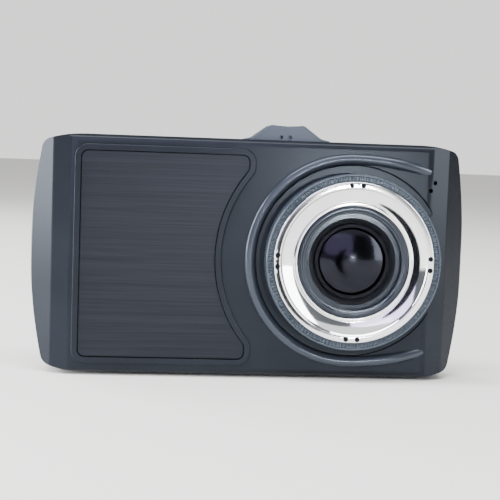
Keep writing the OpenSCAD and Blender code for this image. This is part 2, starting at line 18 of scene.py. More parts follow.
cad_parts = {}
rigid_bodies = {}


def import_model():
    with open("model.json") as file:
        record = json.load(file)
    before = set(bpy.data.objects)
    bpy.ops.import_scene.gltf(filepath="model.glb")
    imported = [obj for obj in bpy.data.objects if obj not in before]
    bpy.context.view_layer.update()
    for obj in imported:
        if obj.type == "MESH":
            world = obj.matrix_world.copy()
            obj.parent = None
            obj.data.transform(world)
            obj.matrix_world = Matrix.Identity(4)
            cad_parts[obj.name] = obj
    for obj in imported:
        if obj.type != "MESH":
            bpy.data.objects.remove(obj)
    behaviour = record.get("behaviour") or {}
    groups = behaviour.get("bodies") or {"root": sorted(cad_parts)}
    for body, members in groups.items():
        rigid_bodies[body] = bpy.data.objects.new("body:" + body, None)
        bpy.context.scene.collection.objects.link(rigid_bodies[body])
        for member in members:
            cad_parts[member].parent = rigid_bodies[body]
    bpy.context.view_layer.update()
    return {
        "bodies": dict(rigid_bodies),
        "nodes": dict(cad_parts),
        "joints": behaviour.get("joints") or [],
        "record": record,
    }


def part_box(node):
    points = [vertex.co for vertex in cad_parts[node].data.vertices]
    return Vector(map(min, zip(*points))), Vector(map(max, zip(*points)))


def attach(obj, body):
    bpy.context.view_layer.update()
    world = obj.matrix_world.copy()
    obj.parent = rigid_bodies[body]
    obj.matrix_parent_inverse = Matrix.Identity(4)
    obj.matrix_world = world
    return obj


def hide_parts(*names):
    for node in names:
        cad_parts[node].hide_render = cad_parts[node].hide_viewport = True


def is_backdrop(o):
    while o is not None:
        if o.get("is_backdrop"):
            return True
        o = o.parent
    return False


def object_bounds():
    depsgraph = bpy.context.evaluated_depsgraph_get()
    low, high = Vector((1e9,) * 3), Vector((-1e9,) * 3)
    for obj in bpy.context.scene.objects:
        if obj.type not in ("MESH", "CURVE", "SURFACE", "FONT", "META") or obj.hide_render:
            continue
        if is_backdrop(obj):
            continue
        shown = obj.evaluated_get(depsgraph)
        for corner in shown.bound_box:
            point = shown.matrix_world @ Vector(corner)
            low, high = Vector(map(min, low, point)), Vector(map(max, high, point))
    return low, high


LOG = logging.getLogger("dash_camera")

Colour = tuple[float, float, float]
Point = tuple[float, float]
Corner = tuple[float, float, float]

# Turns a drawing in X and Z, raised towards the front, into its place
FRONTWARD = Matrix.Rotation(math.radians(90), 4, "X")
# The same for a drawing as seen from behind, raised towards the back
BACKWARD = Matrix.Rotation(math.pi, 4, "Z") @ FRONTWARD
BODY = "camera"
# Points nearer to each other than this, in millimetres, are one point
SAME_POINT = 1e-4
KEYS = ("power", "menu", "up", "ok", "down")


class Join(Enum):
    """How one form acts on another."""

    CUT = "DIFFERENCE"
    ADD = "UNION"


# ---------------------------------------------------------------- forms


def rounded(corners: Sequence[Corner], steps: int = 4) -> list[Point]:
    """Rounds the corners of a closed profile.

    Args:
        corners: [radius, height, rounding] of each corner, where a rounding of 0 stays sharp.
        steps: how many edges each rounding has.

    Returns:
        The profile's points.
    """
    points: list[Point] = []
    count = len(corners)
    for i, (x, y, radius) in enumerate(corners):
        here = Vector((x, y))
        if radius <= 0:
            points.append((x, y))
            continue
        before = Vector(corners[i - 1][:2]) - here
        after = Vector(corners[(i + 1) % count][:2]) - here
        reach = min(radius, 0.49 * before.length, 0.49 * after.length)
        start = here + before.normalized() * reach
        end = here + after.normalized() * reach
        for k in range(steps + 1):
            t = k / steps
            point = start * (1 - t) ** 2 + here * (2 * t * (1 - t)) + end * t**2
            points.append((point.x, point.y))
    return points


class Form:
    """A closed mesh in the making."""

    def __init__(self) -> None:
        """Starts with nothing."""
        self.bm = bmesh.new()

    @classmethod
    def block(cls, low: Sequence[float], high: Sequence[float]) -> "Form":
        """Makes a box.

        Args:
            low: its lowest corner.
            high: its highest corner.

        Returns:
            The box.
        """
        form = cls()
        size = [b - a for a, b in zip(low, high)]
        middle = [(a + b) / 2 for a, b in zip(low, high)]
        place = Matrix.Translation(middle) @ Matrix.Diagonal((*size, 1.0))
        bmesh.ops.create_cube(form.bm, size=1.0, matrix=place)
        return form

    @classmethod
    def turned(cls, profile: Sequence[Point], steps: int = 128, solid: bool = False) -> "Form":
        """Spins a profile round the Z axis.

        Args:
            profile: [radius, height] points, in order round the section.
            steps: how many steps the full turn has.
            solid: True for a profile that begins and ends on the axis.

        Returns:
            The turned form.
        """
        form = cls()
        bm = form.bm
        verts = [bm.verts.new((r, 0.0, h)) for r, h in profile]
        pairs = list(zip(verts, verts[1:]))
        if not solid:
            pairs.append((verts[-1], verts[0]))
        edges = [bm.edges.new(pair) for pair in pairs]
        bmesh.ops.spin(
            bm, geom=[*verts, *edges], cent=(0, 0, 0), axis=(0, 0, 1), angle=math.tau,
            steps=steps, use_merge=True, use_duplicate=False,
        )
        form.clean()
        return form

    def clean(self, distance: float = SAME_POINT) -> "Form":
        """Merges doubles and points the faces outwards.

        Args:
            distance: how near to each other two points are one.

        Returns:
            This form.
        """
        bmesh.ops.remove_doubles(self.bm, verts=self.bm.verts[:], dist=distance)
        bmesh.ops.dissolve_degenerate(self.bm, edges=self.bm.edges[:], dist=distance)
        bmesh.ops.recalc_face_normals(self.bm, faces=self.bm.faces[:])
        return self

    def moved(self, matrix: Matrix) -> "Form":
        """Applies a transform to the whole form.

        Args:
            matrix: the transform.

        Returns:
            This form.
        """
        bmesh.ops.transform(self.bm, matrix=matrix, verts=self.bm.verts[:])
        if matrix.determinant() < 0:
            bmesh.ops.reverse_faces(self.bm, faces=self.bm.faces[:])
        return self

    def add(self, other: "Form") -> "Form":
        """Takes in another form's mesh as it is, beside this one's.

        Args:
            other: the form that is taken in.

        Returns:
            This form.
        """
        mesh = bpy.data.meshes.new("taken")
        other.bm.to_mesh(mesh)
        self.bm.from_mesh(mesh)
        bpy.data.meshes.remove(mesh)
        return self

    def cut_by(self, point: Vector, normal: Vector) -> None:
        """Takes away what lies beyond a plane, and closes the cut.

        Args:
            point: a point on the plane.
            normal: the side that goes.
        """
        everything = [*self.bm.verts, *self.bm.edges, *self.bm.faces]
        result = bmesh.ops.bisect_plane(
            self.bm, geom=everything, dist=1e-5, plane_co=point, plane_no=normal, clear_outer=True
        )
        edges = [g for g in result["geom_cut"] if isinstance(g, bmesh.types.BMEdge)]
        if edges:
            bmesh.ops.edgeloop_fill(self.bm, edges=edges)

    def combine(self, join: Join, other: "Form") -> "Form":
        """Cuts this form with another, or joins the two.

        Args:
            join: what is done.
            other: the form that acts on this one.

        Returns:
            This form.
        """
        objects = []
        for form in (self, other):
            mesh = bpy.data.meshes.new("joining")
            form.bm.to_mesh(mesh)
            made = bpy.data.objects.new("joining", mesh)
            bpy.context.scene.collection.objects.link(made)
            objects.append(made)
        base, tool = objects
        modifier = base.modifiers.new("join", "BOOLEAN")
        modifier.operation = join.value
        modifier.solver = "EXACT"
        modifier.object = tool
        bpy.context.view_layer.update()
        result = bpy.data.meshes.new_from_object(
            base.evaluated_get(bpy.context.evaluated_depsgraph_get())
        )
        self.bm.clear()
        self.bm.from_mesh(result)
        bpy.data.meshes.remove(result)
        for made in objects:
            mesh = made.data
            bpy.data.objects.remove(made)
            bpy.data.meshes.remove(mesh)
        bmesh.ops.remove_doubles(self.bm, verts=self.bm.verts[:], dist=SAME_POINT)
        bmesh.ops.dissolve_degenerate(self.bm, edges=self.bm.edges[:], dist=SAME_POINT)
        return self

    def bevel(self, edges: Sequence[bmesh.types.BMEdge], width: float, segments: int) -> "Form":
        """Bevels chosen edges.

        Args:
            edges: the edges.
            width: how far the bevel reaches.
            segments: how many strips the bevel has.

        Returns:
            This form.
        """
        bmesh.ops.bevel(
            self.bm, geom=edges, offset=width, offset_type="OFFSET", affect="EDGES",
            segments=segments, profile=0.5, material=-1, clamp_overlap=True,
        )
        return self

    def soften(self, width: float, angle: float = 30.0, segments: int = 3) -> "Form":
        """Bevels every edge that is sharper than an angle.

        Args:
            width: how far the bevel reaches.
            angle: the least bend, in degrees, of an edge that is bevelled.
            segments: how many strips the bevel has.

        Returns:
            This form.
        """
        least = math.radians(angle)
        edges = [e for e in self.bm.edges if e.is_manifold and e.calc_face_angle(0.0) > least]
        return self.bevel(edges, width, segments)


class Pen:
    """Draws a flat closed outline from lines and arcs, to be raised into a form."""

    def __init__(self, x: float, y: float) -> None:
        """Puts the pen down."""
        self.bm = bmesh.new()
        self.tip = self.bm.verts.new((x, y, 0.0))

    def line(self, x: float, y: float) -> "Pen":
        """Draws straight to a point.

        Args:
            x: the point's first coordinate.
            y: the point's second coordinate.

        Returns:
            The pen.
        """
        end = self.bm.verts.new((x, y, 0.0))
        self.bm.edges.new((self.tip, end))
        self.tip = end
        return self

    def arc(self, x: float, y: float, degrees: float, steps: int = 8) -> "Pen":
        """Draws an arc.

        Args:
            x: the centre's first coordinate.
            y: the centre's second coordinate.
            degrees: how far it turns, anticlockwise.
            steps: how many edges it has.

        Returns:
            The pen.
        """
        result = bmesh.ops.spin(
            self.bm, geom=[self.tip], cent=(x, y, 0), axis=(0, 0, 1), dvec=(0, 0, 0),
            angle=math.radians(degrees), steps=steps, use_merge=False, use_duplicate=False,
        )
        self.tip = next(g for g in result["geom_last"] if isinstance(g, bmesh.types.BMVert))
        return self

    def raised(self, low: float, high: float, place: Matrix = FRONTWARD) -> Form:
        """Closes the outline and gives it thickness.

        Args:
            low: where it begins, above its plane.
            high: where it ends.
            place: where the drawing's plane goes.

        Returns:
            The solid form.
        """
        form = Form()
        form.bm.free()
        form.bm = self.bm
        bm = self.bm
        bmesh.ops.remove_doubles(bm, verts=bm.verts[:], dist=SAME_POINT)
        loose = [e for e in bm.edges if not e.link_faces]
        if len(loose) == len(bm.verts) - 1:
            ends = [v for v in bm.verts if len(v.link_edges) == 1]
            loose.append(bm.edges.new(ends))
        bmesh.ops.contextual_create(bm, geom=loose)
        bmesh.ops.translate(bm, verts=bm.verts[:], vec=(0, 0, low))
        result = bmesh.ops.extrude_face_region(bm, geom=bm.faces[:], use_keep_orig=True)
        top = [g for g in result["geom"] if isinstance(g, bmesh.types.BMVert)]
        bmesh.ops.translate(bm, verts=top, vec=(0, 0, high - low))
        bmesh.ops.recalc_face_normals(bm, faces=bm.faces[:])
        return form.moved(place)


def slab(points: Sequence[Point], low: float, high: float, place: Matrix = FRONTWARD) -> Form:
    """Raises a straight-sided outline given by a few points.

    Args:
        points: its corners.
        low: where it begins, above its plane.
        high: where it ends.
        place: where the drawing's plane goes.

    Returns:
        The solid form.
    """
    pen = Pen(*points[0])
    for point in points[1:]:
        pen.line(*point)
    return pen.raised(low, high, place)


def pill(length: float, width: float, low: float, high: float, place: Matrix) -> Form:
    """Makes a bar with round ends about its middle.

    Args:
        length: its whole length, along X.
        width: its width, along Y.
        low: its lower end.
        high: its upper end.
        place: where it goes.

    Returns:
        The bar.
    """
    half, r = (length - width) / 2, width / 2
    pen = Pen(half, -r).arc(half, 0, 180, 12).line(-half, r).arc(-half, 0, 180, 12)
    return pen.raised(low, high, place)


def rounded_bar(
    width: float, height: float, r: float, low: float, high: float, place: Matrix = FRONTWARD
) -> Form:
    """Makes a slab with a rounded-rectangle outline about its middle.

    Args:
        width: its width.
        height: its height.
        r: the radius of its corners.
        low: where it begins, above its plane.
        high: where it ends.
        place: where the drawing's plane goes.

    Returns:
        The solid form.
    """
    x, y = width / 2 - r, height / 2 - r
    pen = Pen(x + r, -y).line(x + r, y).arc(x, y, 90).line(-x, y + r).arc(-x, y, 90)
    pen.line(-x - r, -y).arc(-x, -y, 90).line(x, -y - r).arc(x, -y, 90)
    return pen.raised(low, high, place)


def rod(r: float, low: float, high: float, place: Matrix, steps: int = 24, flare: float = 0.0) -> Form:
    """Makes a round rod, with a mouth that may flare at its upper end.

    Args:
        r: its radius.
        low: its lower end.
        high: its upper end.
        place: where it goes.
        steps: how many sides it has.
        flare: how much wider the mouth is, over the same height below the upper end.

    Returns:
        The rod.
    """
    profile = [(0.0, low), (r, low), (r, high - flare), (r + flare, high), (0.0, high)]
    if not flare:
        profile.pop(3)
    return Form.turned(profile, steps, solid=True).moved(place)


# ---------------------------------------------------------------- materials

Number = Union[float, "Signal"]


class Signal:
    """One output of a material's nodes. Arithmetic on it adds Math nodes."""

    def __init__(self, graph: "Graph", socket: bpy.types.NodeSocket) -> None:
        """Wraps a socket."""
        self.graph = graph
        self.socket = socket

    def _math(self, operation: str, first: Number, second: Number) -> "Signal":
        """Adds one Math node."""
        return self.graph.node("ShaderNodeMath", {"operation": operation}, {0: first, 1: second})

    def __add__(self, other: Number) -> "Signal":
        """Adds."""
        return self._math("ADD", self, other)

    def __radd__(self, other: Number) -> "Signal":
        """Adds."""
        return self._math("ADD", other, self)

    def __sub__(self, other: Number) -> "Signal":
        """Subtracts."""
        return self._math("SUBTRACT", self, other)

    def __rsub__(self, other: Number) -> "Signal":
        """Subtracts from a number."""
        return self._math("SUBTRACT", other, self)

    def __mul__(self, other: Number) -> "Signal":
        """Multiplies."""
        return self._math("MULTIPLY", self, other)

    def __pow__(self, other: Number) -> "Signal":
        """Raises to a power."""
        return self._math("POWER", self, other)

    def spread(self, low: float, high: float, to_low: float = 0.0, to_high: float = 1.0) -> "Signal":
        """Maps a range of values to another, held at its ends.

        Args:
            low: the value that becomes to_low.
            high: the value that becomes to_high.
            to_low: the result at low.
            to_high: the result at high.

        Returns:
            The mapped value.
        """
        return self.graph.node(
            "ShaderNodeMapRange", {"interpolation_type": "SMOOTHSTEP"},
            {0: self, 1: low, 2: high, 3: to_low, 4: to_high},
        )


class Graph:
    """The nodes of one material."""

    def __init__(self, name: str) -> None:
        """Starts an empty material.

        Args:
            name: the material's name.
        """
        self.material = bpy.data.materials.new(name)
        self.material.use_nodes = True
        self.tree = self.material.node_tree
        self.tree.nodes.clear()

    def node(
        self, kind: str, settings: Optional[dict] = None, inputs: Optional[dict] = None, output: int = 0
    ) -> Signal:
        """Adds a node.

        Args:
            kind: the node's type.
            settings: its own settings, set first.
            inputs: a number, a colour or a signal for each input, by its name or index.
            output: which output is returned.

        Returns:
            The output.
        """
        made = self.tree.nodes.new(kind)
        for key, value in (settings or {}).items():
            setattr(made, key, value)
        for key, value in (inputs or {}).items():
            socket = made.inputs[key]
            if isinstance(value, Signal):
                self.tree.links.new(value.socket, socket)
            elif isinstance(value, tuple) and len(value) == 3 and len(socket.default_value) == 4:
                socket.default_value = (*value, 1.0)
            else:
                socket.default_value = value
        return Signal(self, made.outputs[output])

    def place(self, stretch: Sequence[float] = (1.0, 1.0, 1.0), turn: float = 0.0) -> Signal:
        """Gives the point on the piece, in millimetres times a stretch for each axis.

        Args:
            stretch: what each axis is multiplied by.
            turn: how far it is turned about Y, in radians.

        Returns:
            The point.
        """
        point = self.node("ShaderNodeTexCoord", output=3)
        scale = tuple(1000.0 * s for s in stretch)
        return self.node(
            "ShaderNodeMapping", {"vector_type": "POINT"},
            {"Vector": point, "Rotation": (0.0, turn, 0.0), "Scale": scale},
        )

    def axes(self, vector: Signal) -> tuple[Signal, Signal, Signal]:
        """Splits a vector into its three numbers.

        Args:
            vector: the vector.

        Returns:
            Its three numbers.
        """
        split = self.node("ShaderNodeSeparateXYZ", inputs={0: vector})
        outputs = split.socket.node.outputs
        return Signal(self, outputs[0]), Signal(self, outputs[1]), Signal(self, outputs[2])

    def noise(self, vector: Signal, scale: float, detail: float = 2.0, roughness: float = 0.5) -> Signal:
        """Adds a noise whose value is about 0 to 1.

        Args:
            vector: where it is read.
            scale: how many spots it has in a millimetre.
            detail: how many finer layers it has.
            roughness: how strong the finer layers are.

        Returns:
            The noise.
        """
        inputs = {"Vector": vector, "Scale": scale, "Detail": detail, "Roughness": roughness}
        return self.node("ShaderNodeTexNoise", inputs=inputs)

    def blend(self, factor: Number, first: Union[Colour, Signal], second: Union[Colour, Signal]) -> Signal:
        """Mixes two colours.

        Args:
            factor: how much of the second colour shows.
            first: the colour at 0.
            second: the colour at 1.

        Returns:
            The mixed colour.
        """
        settings = {"data_type": "RGBA", "clamp_factor": True}
        return self.node("ShaderNodeMix", settings, {0: factor, 6: first, 7: second}, output=2)

    def bump(self, height: Signal, depth: float, strength: float = 1.0) -> Signal:
        """Turns a height into a normal, for a depth in millimetres.

        Args:
            height: the height, where 1 is the whole depth.
            depth: the depth, in millimetres.
            strength: how much of it shows.

        Returns:
            The normal.
        """
        inputs = {"Height": height, "Distance": depth / 1000.0, "Strength": strength}
        return self.node("ShaderNodeBump", inputs=inputs)

    def surface(self, inputs: dict) -> Signal:
        """Adds the surface shader with its inputs."""
        return self.node("ShaderNodeBsdfPrincipled", inputs=inputs)

    def done(self, shader: Signal) -> bpy.types.Material:
        """Connects the shader to the output and gives the material.

        Args:
            shader: the shader.

        Returns:
            The material.
        """
        end = self.tree.nodes.new("ShaderNodeOutputMaterial")
        self.tree.links.new(shader.socket, end.inputs["Surface"])
        return self.material


@dataclass(frozen=True)
class Plastic:
    """Moulded plastic with a fine eroded grain and faint patches of gloss."""

    name: str
    colour: Colour
    patch: Colour
    roughness: float = 0.34
    grain: float = 0.35
    depth: float = 0.004
    coat: float = 0.0
    gloss: float = 0.20
    tint: Colour = (0.74, 0.86, 1.0)

    def make(self) -> bpy.types.Material:
        """Makes the material.

        Returns:
            The material.
        """
        graph = Graph(self.name)
        place = graph.place()
        fine = graph.noise(place, 1.0 / self.grain, 3.0, 0.6)
        broad = graph.noise(place, 0.06, 3.0, 0.55)
        speck = graph.noise(place, 4.5, 1.0).spread(0.68, 0.78)
        colour = graph.blend(broad.spread(0.3, 0.7), self.colour, self.patch)
        return graph.done(graph.surface({
            "Base Color": colour,
            "Roughness": self.roughness + (broad - 0.5) * 0.08 + (fine - 0.5) * 0.08 + speck * 0.05,
            "Normal": graph.bump(fine, self.depth, 0.6),
            "Specular IOR Level": self.gloss,
            "Specular Tint": self.tint,
            "Coat Weight": self.coat,
            "Coat Roughness": 0.12,
        }))


@dataclass(frozen=True)
class BrushedPlate:
    """A black plate brushed along its length."""

    name: str = "brushed_black_plate"
    dark: Colour = (0.0070, 0.0078, 0.0105)
    light: Colour = (0.0150, 0.0165, 0.0215)

    def make(self) -> bpy.types.Material:
        """Makes the material.

        Returns:
            The material.
        """
        graph = Graph(self.name)
        fine = graph.noise(graph.place((0.03, 1.0, 5.0)), 1.0, 3.0, 0.7)
        broad = graph.noise(graph.place((0.012, 1.0, 1.3)), 1.0, 2.0, 0.6)
        lines = fine * 0.65 + broad * 0.35
        colour = graph.blend(lines.spread(0.34, 0.68), self.dark, self.light)
        return graph.done(graph.surface({
            "Base Color": colour,
            "Metallic": 0.2,
            "Roughness": 0.36 + (fine - 0.5) * 0.16,
            "Anisotropic": 0.5,
            "Specular IOR Level": 0.22,
            "Specular Tint": (0.78, 0.86, 1.0),
            "Normal": graph.bump(lines, 0.02, 0.5),
        }))


@dataclass(frozen=True)
class Metal:
    """A bright or dull metal, with faint smears and a turned or rolled texture."""

    name: str
    colour: Colour
    shade: Colour
    roughness: float = 0.08
    stretch: tuple[float, float, float] = (1.0, 1.0, 1.0)
    depth: float = 0.002

    def make(self) -> bpy.types.Material:
        """Makes the material.

        Returns:
            The material.
        """
        graph = Graph(self.name)
        place = graph.place(self.stretch)
        smear = graph.noise(place, 0.22, 3.0, 0.6)
        fine = graph.noise(place, 3.0, 2.0, 0.6)
        return graph.done(graph.surface({
            "Base Color": graph.blend(smear.spread(0.35, 0.75), self.colour, self.shade),
            "Metallic": 1.0,
            "Roughness": self.roughness + smear * 0.05 + (fine - 0.5) * 0.04,
            "Normal": graph.bump(fine, self.depth, 0.5),
        }))


@dataclass(frozen=True)
class CoatedGlass:
    """Coated lens glass: a tinted mirror film, solid or, with a reach, clear when seen face on."""

    name: str
    film: Colour
    edge: Colour
    # How solid the film gets at a grazing angle, where 0 makes it solid all over
    reach: float = 0.0
    roughness: float = 0.02

    def make(self) -> bpy.types.Material:
        """Makes the material.

        Returns:
            The material.
        """
        graph = Graph(self.name)
        facing = graph.node("ShaderNodeLayerWeight", inputs={"Blend": 0.35}, output=1)
        smear = graph.noise(graph.place(), 0.12, 3.0, 0.5)
        film = graph.blend(facing.spread(0.05, 0.6), self.film, self.edge)
        inputs = {"Base Color": film, "Metallic": 1.0, "Roughness": self.roughness + smear * 0.03}
        if self.reach:
            inputs["Alpha"] = facing.spread(0.22, 1.0) ** 1.4 * self.reach
        return graph.done(graph.surface(inputs))


@dataclass(frozen=True)
class ClearSheet:
    """Flat cover glass: nearly clear, glossy, with a few faint smears."""

    name: str = "screen_cover_glass"

    def make(self) -> bpy.types.Material:
        """Makes the material.

        Returns:
            The material.
        """
        graph = Graph(self.name)
        facing = graph.node("ShaderNodeLayerWeight", inputs={"Blend": 0.4}, output=1)
        smear = graph.noise(graph.place((0.5, 1.0, 1.0)), 0.09, 4.0, 0.6)
        return graph.done(graph.surface({
            "Base Color": (0.75, 0.78, 0.85),
            "Metallic": 1.0,
            "Roughness": 0.02 + smear.spread(0.4, 0.8) * 0.05,
            "Alpha": facing.spread(0.45, 0.95) ** 1.5 * 0.5,
        }))


@dataclass(frozen=True)
class Board:
    """Circuit board: green mask over copper tracks, with tinned pads."""

    name: str = "circuit_board_mask"

    def make(self) -> bpy.types.Material:
        """Makes the material.

        Returns:
            The material.
        """
        graph = Graph(self.name)
        place = graph.place()
        cells = graph.node(
            "ShaderNodeTexVoronoi", {"feature": "DISTANCE_TO_EDGE", "distance": "EUCLIDEAN"},
            {"Vector": place, "Scale": 0.5},
        )
        tracks = 1 - cells.spread(0.06, 0.09)
        pads = graph.noise(place, 1.6, 1.0).spread(0.66, 0.69)
        green = graph.blend(tracks, (0.006, 0.075, 0.028), (0.012, 0.15, 0.05))
        return graph.done(graph.surface({
            "Base Color": graph.blend(pads, green, (0.72, 0.70, 0.62)),
            "Metallic": pads * 0.9,
            "Roughness": 0.32 + pads * 0.1,
            "Normal": graph.bump(tracks + pads, 0.03, 0.7),
        }))


@dataclass(frozen=True)
class Soft:
    """Foam, rubber, cloth-backed tape or wire insulation: dull, with open pores, and painted shade in their
    low spots.
    """

    name: str
    colour: Colour
    # Darker colour for the low spots of the pore bump: painted shade in the pores
    pore_shade: Colour
    roughness: float = 0.8

    def make(self) -> bpy.types.Material:
        """Makes the material.

        Returns:
            The material.
        """
        graph = Graph(self.name)
        pores = graph.noise(graph.place(), 3.5, 3.0, 0.6)
        return graph.done(graph.surface({
            # The low spots of the bump get the darker colour, a painted shade in the pores
            "Base Color": graph.blend(pores.spread(0.35, 0.65), self.pore_shade, self.colour),
            "Roughness": self.roughness + (pores - 0.5) * 0.15,
            "Normal": graph.bump(pores, 0.06, 0.7),
        }))


@dataclass(frozen=True)
class Lit:
    """Part of the picture that the display shows: a glowing colour that changes across it."""

    name: str
    top: Colour
    foot: Colour
    low: float = -22.0
    high: float = 22.0
    strength: float = 1.0
    cloud: float = 0.0
    side: Optional[Colour] = None
    middle: Point = (0.0, 0.0)

    def make(self) -> bpy.types.Material:
        """Makes the material.

        Returns:
            The material.
        """
        graph = Graph(self.name)
        across, _, height = graph.axes(graph.place())
        level = (height - self.middle[1]).spread(self.low, self.high)
        drift = graph.noise(graph.place((0.30, 1.0, 1.0), 0.5), 0.10, 4.0, 0.6)
        mixed = graph.blend(level, self.foot, self.top)
        if self.side:
            mixed = graph.blend((self.middle[0] - across).spread(-30.0, 14.0), mixed, self.side)
        if self.cloud:
            mixed = graph.blend(drift.spread(0.44, 0.68) * self.cloud, mixed, (0.86, 0.86, 0.84))
        return graph.done(graph.surface({
            "Base Color": (0.004, 0.004, 0.005),
            "Roughness": 0.05 + drift * 0.04,
            "Specular IOR Level": 0.16,
            "Emission Color": mixed,
            "Emission Strength": self.strength,
        }))


@dataclass(frozen=True)
class Floor:
    """A plain pale floor, solid from above, and open from below and to shadow rays."""

    name: str = "studio_floor"
    colour: Colour = (0.82, 0.81, 0.79)

    def make(self) -> bpy.types.Material:
        """Makes the material.

        Returns:
            The material.
        """
        graph = Graph(self.name)
        under = graph.node("ShaderNodeNewGeometry", output=6)
        shadow = graph.node("ShaderNodeLightPath", output=1)
        solid = graph.surface({"Base Color": self.colour, "Roughness": 0.75})
        clear = graph.node("ShaderNodeBsdfTransparent")
        gap = (under + shadow).spread(0.1, 0.9)
        return graph.done(graph.node("ShaderNodeMixShader", inputs={0: gap, 1: solid, 2: clear}))


Finish = Union[Plastic, BrushedPlate, Metal, CoatedGlass, ClearSheet, Board, Soft, Lit, Floor]


class Shade(Enum):
    """The finishes that more than one piece uses."""

    CASE = Plastic("case_front_plastic", (0.0090, 0.0102, 0.0140), (0.0118, 0.0132, 0.0180), 0.25, gloss=0.16)
    BACK = Plastic("case_back_plastic", (0.0130, 0.0136, 0.0172), (0.0160, 0.0168, 0.0212), 0.32,
                   tint=(0.86, 0.91, 1.0))
    # The raised line is case plastic; its lighter colour is a painted highlight along the ridge
    LINE_HIGHLIGHT = Plastic("raised_line_painted_highlight", (0.0190, 0.0225, 0.0310), (0.0240, 0.0280, 0.0385), 0.22, gloss=0.55)
    SHOE = Plastic("shoe_plastic", (0.0420, 0.0495, 0.0665), (0.0500, 0.0585, 0.0780), 0.34, gloss=0.35)
    KEY = Plastic("key_plastic", (0.0200, 0.0225, 0.0300), (0.0260, 0.0285, 0.0380), 0.28, gloss=0.45)
    RIBBED = Plastic("ribbed_ring_plastic", (0.0300, 0.0390, 0.0520), (0.0400, 0.0500, 0.0650), 0.28,
                     gloss=0.5)
    RIM = Plastic("lens_rim_gloss", (0.0100, 0.0115, 0.0170), (0.0130, 0.0145, 0.0210), 0.16, 0.8, 0.001,
                  gloss=0.4)
    LENS_BLACK = Plastic("lens_matt_black", (0.0030, 0.0030, 0.0040), (0.0045, 0.0045, 0.0060), 0.60, 0.3,
                         gloss=0.15)
    PRINT = Plastic("black_print", (0.0045, 0.0045, 0.0055), (0.0060, 0.0060, 0.0070), 0.22, 0.5, 0.001)
    CHIP = Plastic("chip_resin", (0.0120, 0.0120, 0.0135), (0.0170, 0.0170, 0.0190), 0.55, 0.2)
    SOCKET = Plastic("socket_black", (0.0060, 0.0060, 0.0070), (0.0090, 0.0090, 0.0105), 0.45)
    CREAM = Plastic("plug_cream", (0.70, 0.67, 0.58), (0.62, 0.59, 0.50), 0.45)
    AMBER = Plastic("ribbon_film", (0.52, 0.20, 0.02), (0.44, 0.16, 0.015), 0.25, coat=0.5)
    CHROME = Metal("bright_chrome", (0.90, 0.91, 0.92), (0.84, 0.85, 0.87), 0.045)
    TIN = Metal("tinned_sheet", (0.72, 0.72, 0.72), (0.60, 0.60, 0.61), 0.24, (1.0, 1.0, 6.0), 0.004)
    SCREW = Metal("blackened_steel", (0.060, 0.060, 0.066), (0.030, 0.030, 0.034), 0.32)
    ZINC = Metal("zinc_screw", (0.62, 0.62, 0.58), (0.52, 0.52, 0.50), 0.28)
    FOIL = Metal("cell_foil", (0.70, 0.72, 0.75), (0.60, 0.62, 0.66), 0.30)
    FOAM = Soft("foam_black", (0.020, 0.020, 0.021), (0.008, 0.008, 0.009))
    WIRE = Soft("wire_insulation", (0.42, 0.02, 0.015), (0.36, 0.015, 0.012), 0.5)
    COVER = CoatedGlass("lens_cover_coating", (0.100, 0.085, 0.150), (0.11, 0.14, 0.20), 0.40)
    ELEMENT = CoatedGlass("lens_element_coating", (0.0180, 0.0190, 0.0245), (0.0150, 0.0190, 0.0260),
                          roughness=0.14)
    CLEAR = ClearSheet()
    PIPE = Plastic("light_pipe_milky", (0.26, 0.29, 0.33), (0.32, 0.35, 0.39), 0.14, 0.6, 0.001, 0.4,
                   gloss=0.5)
    PLATE = BrushedPlate()
    BOARD = Board()
    FLOOR = Floor()


class Palette:
    """Makes each finish once and hands it out."""

    def __init__(self) -> None:
        """Starts with no material made."""
        self.made: dict[str, bpy.types.Material] = {}

    def get(self, finish: Union[Shade, Finish]) -> bpy.types.Material:
        """Gives a finish's material.

        Args:
            finish: the finish itself, or a member of Shade.

        Returns:
            The material.
        """
        spec = finish.value if isinstance(finish, Shade) else finish
        if spec.name not in self.made:
            self.made[spec.name] = spec.make()
        return self.made[spec.name]


# ---------------------------------------------------------------- workshop


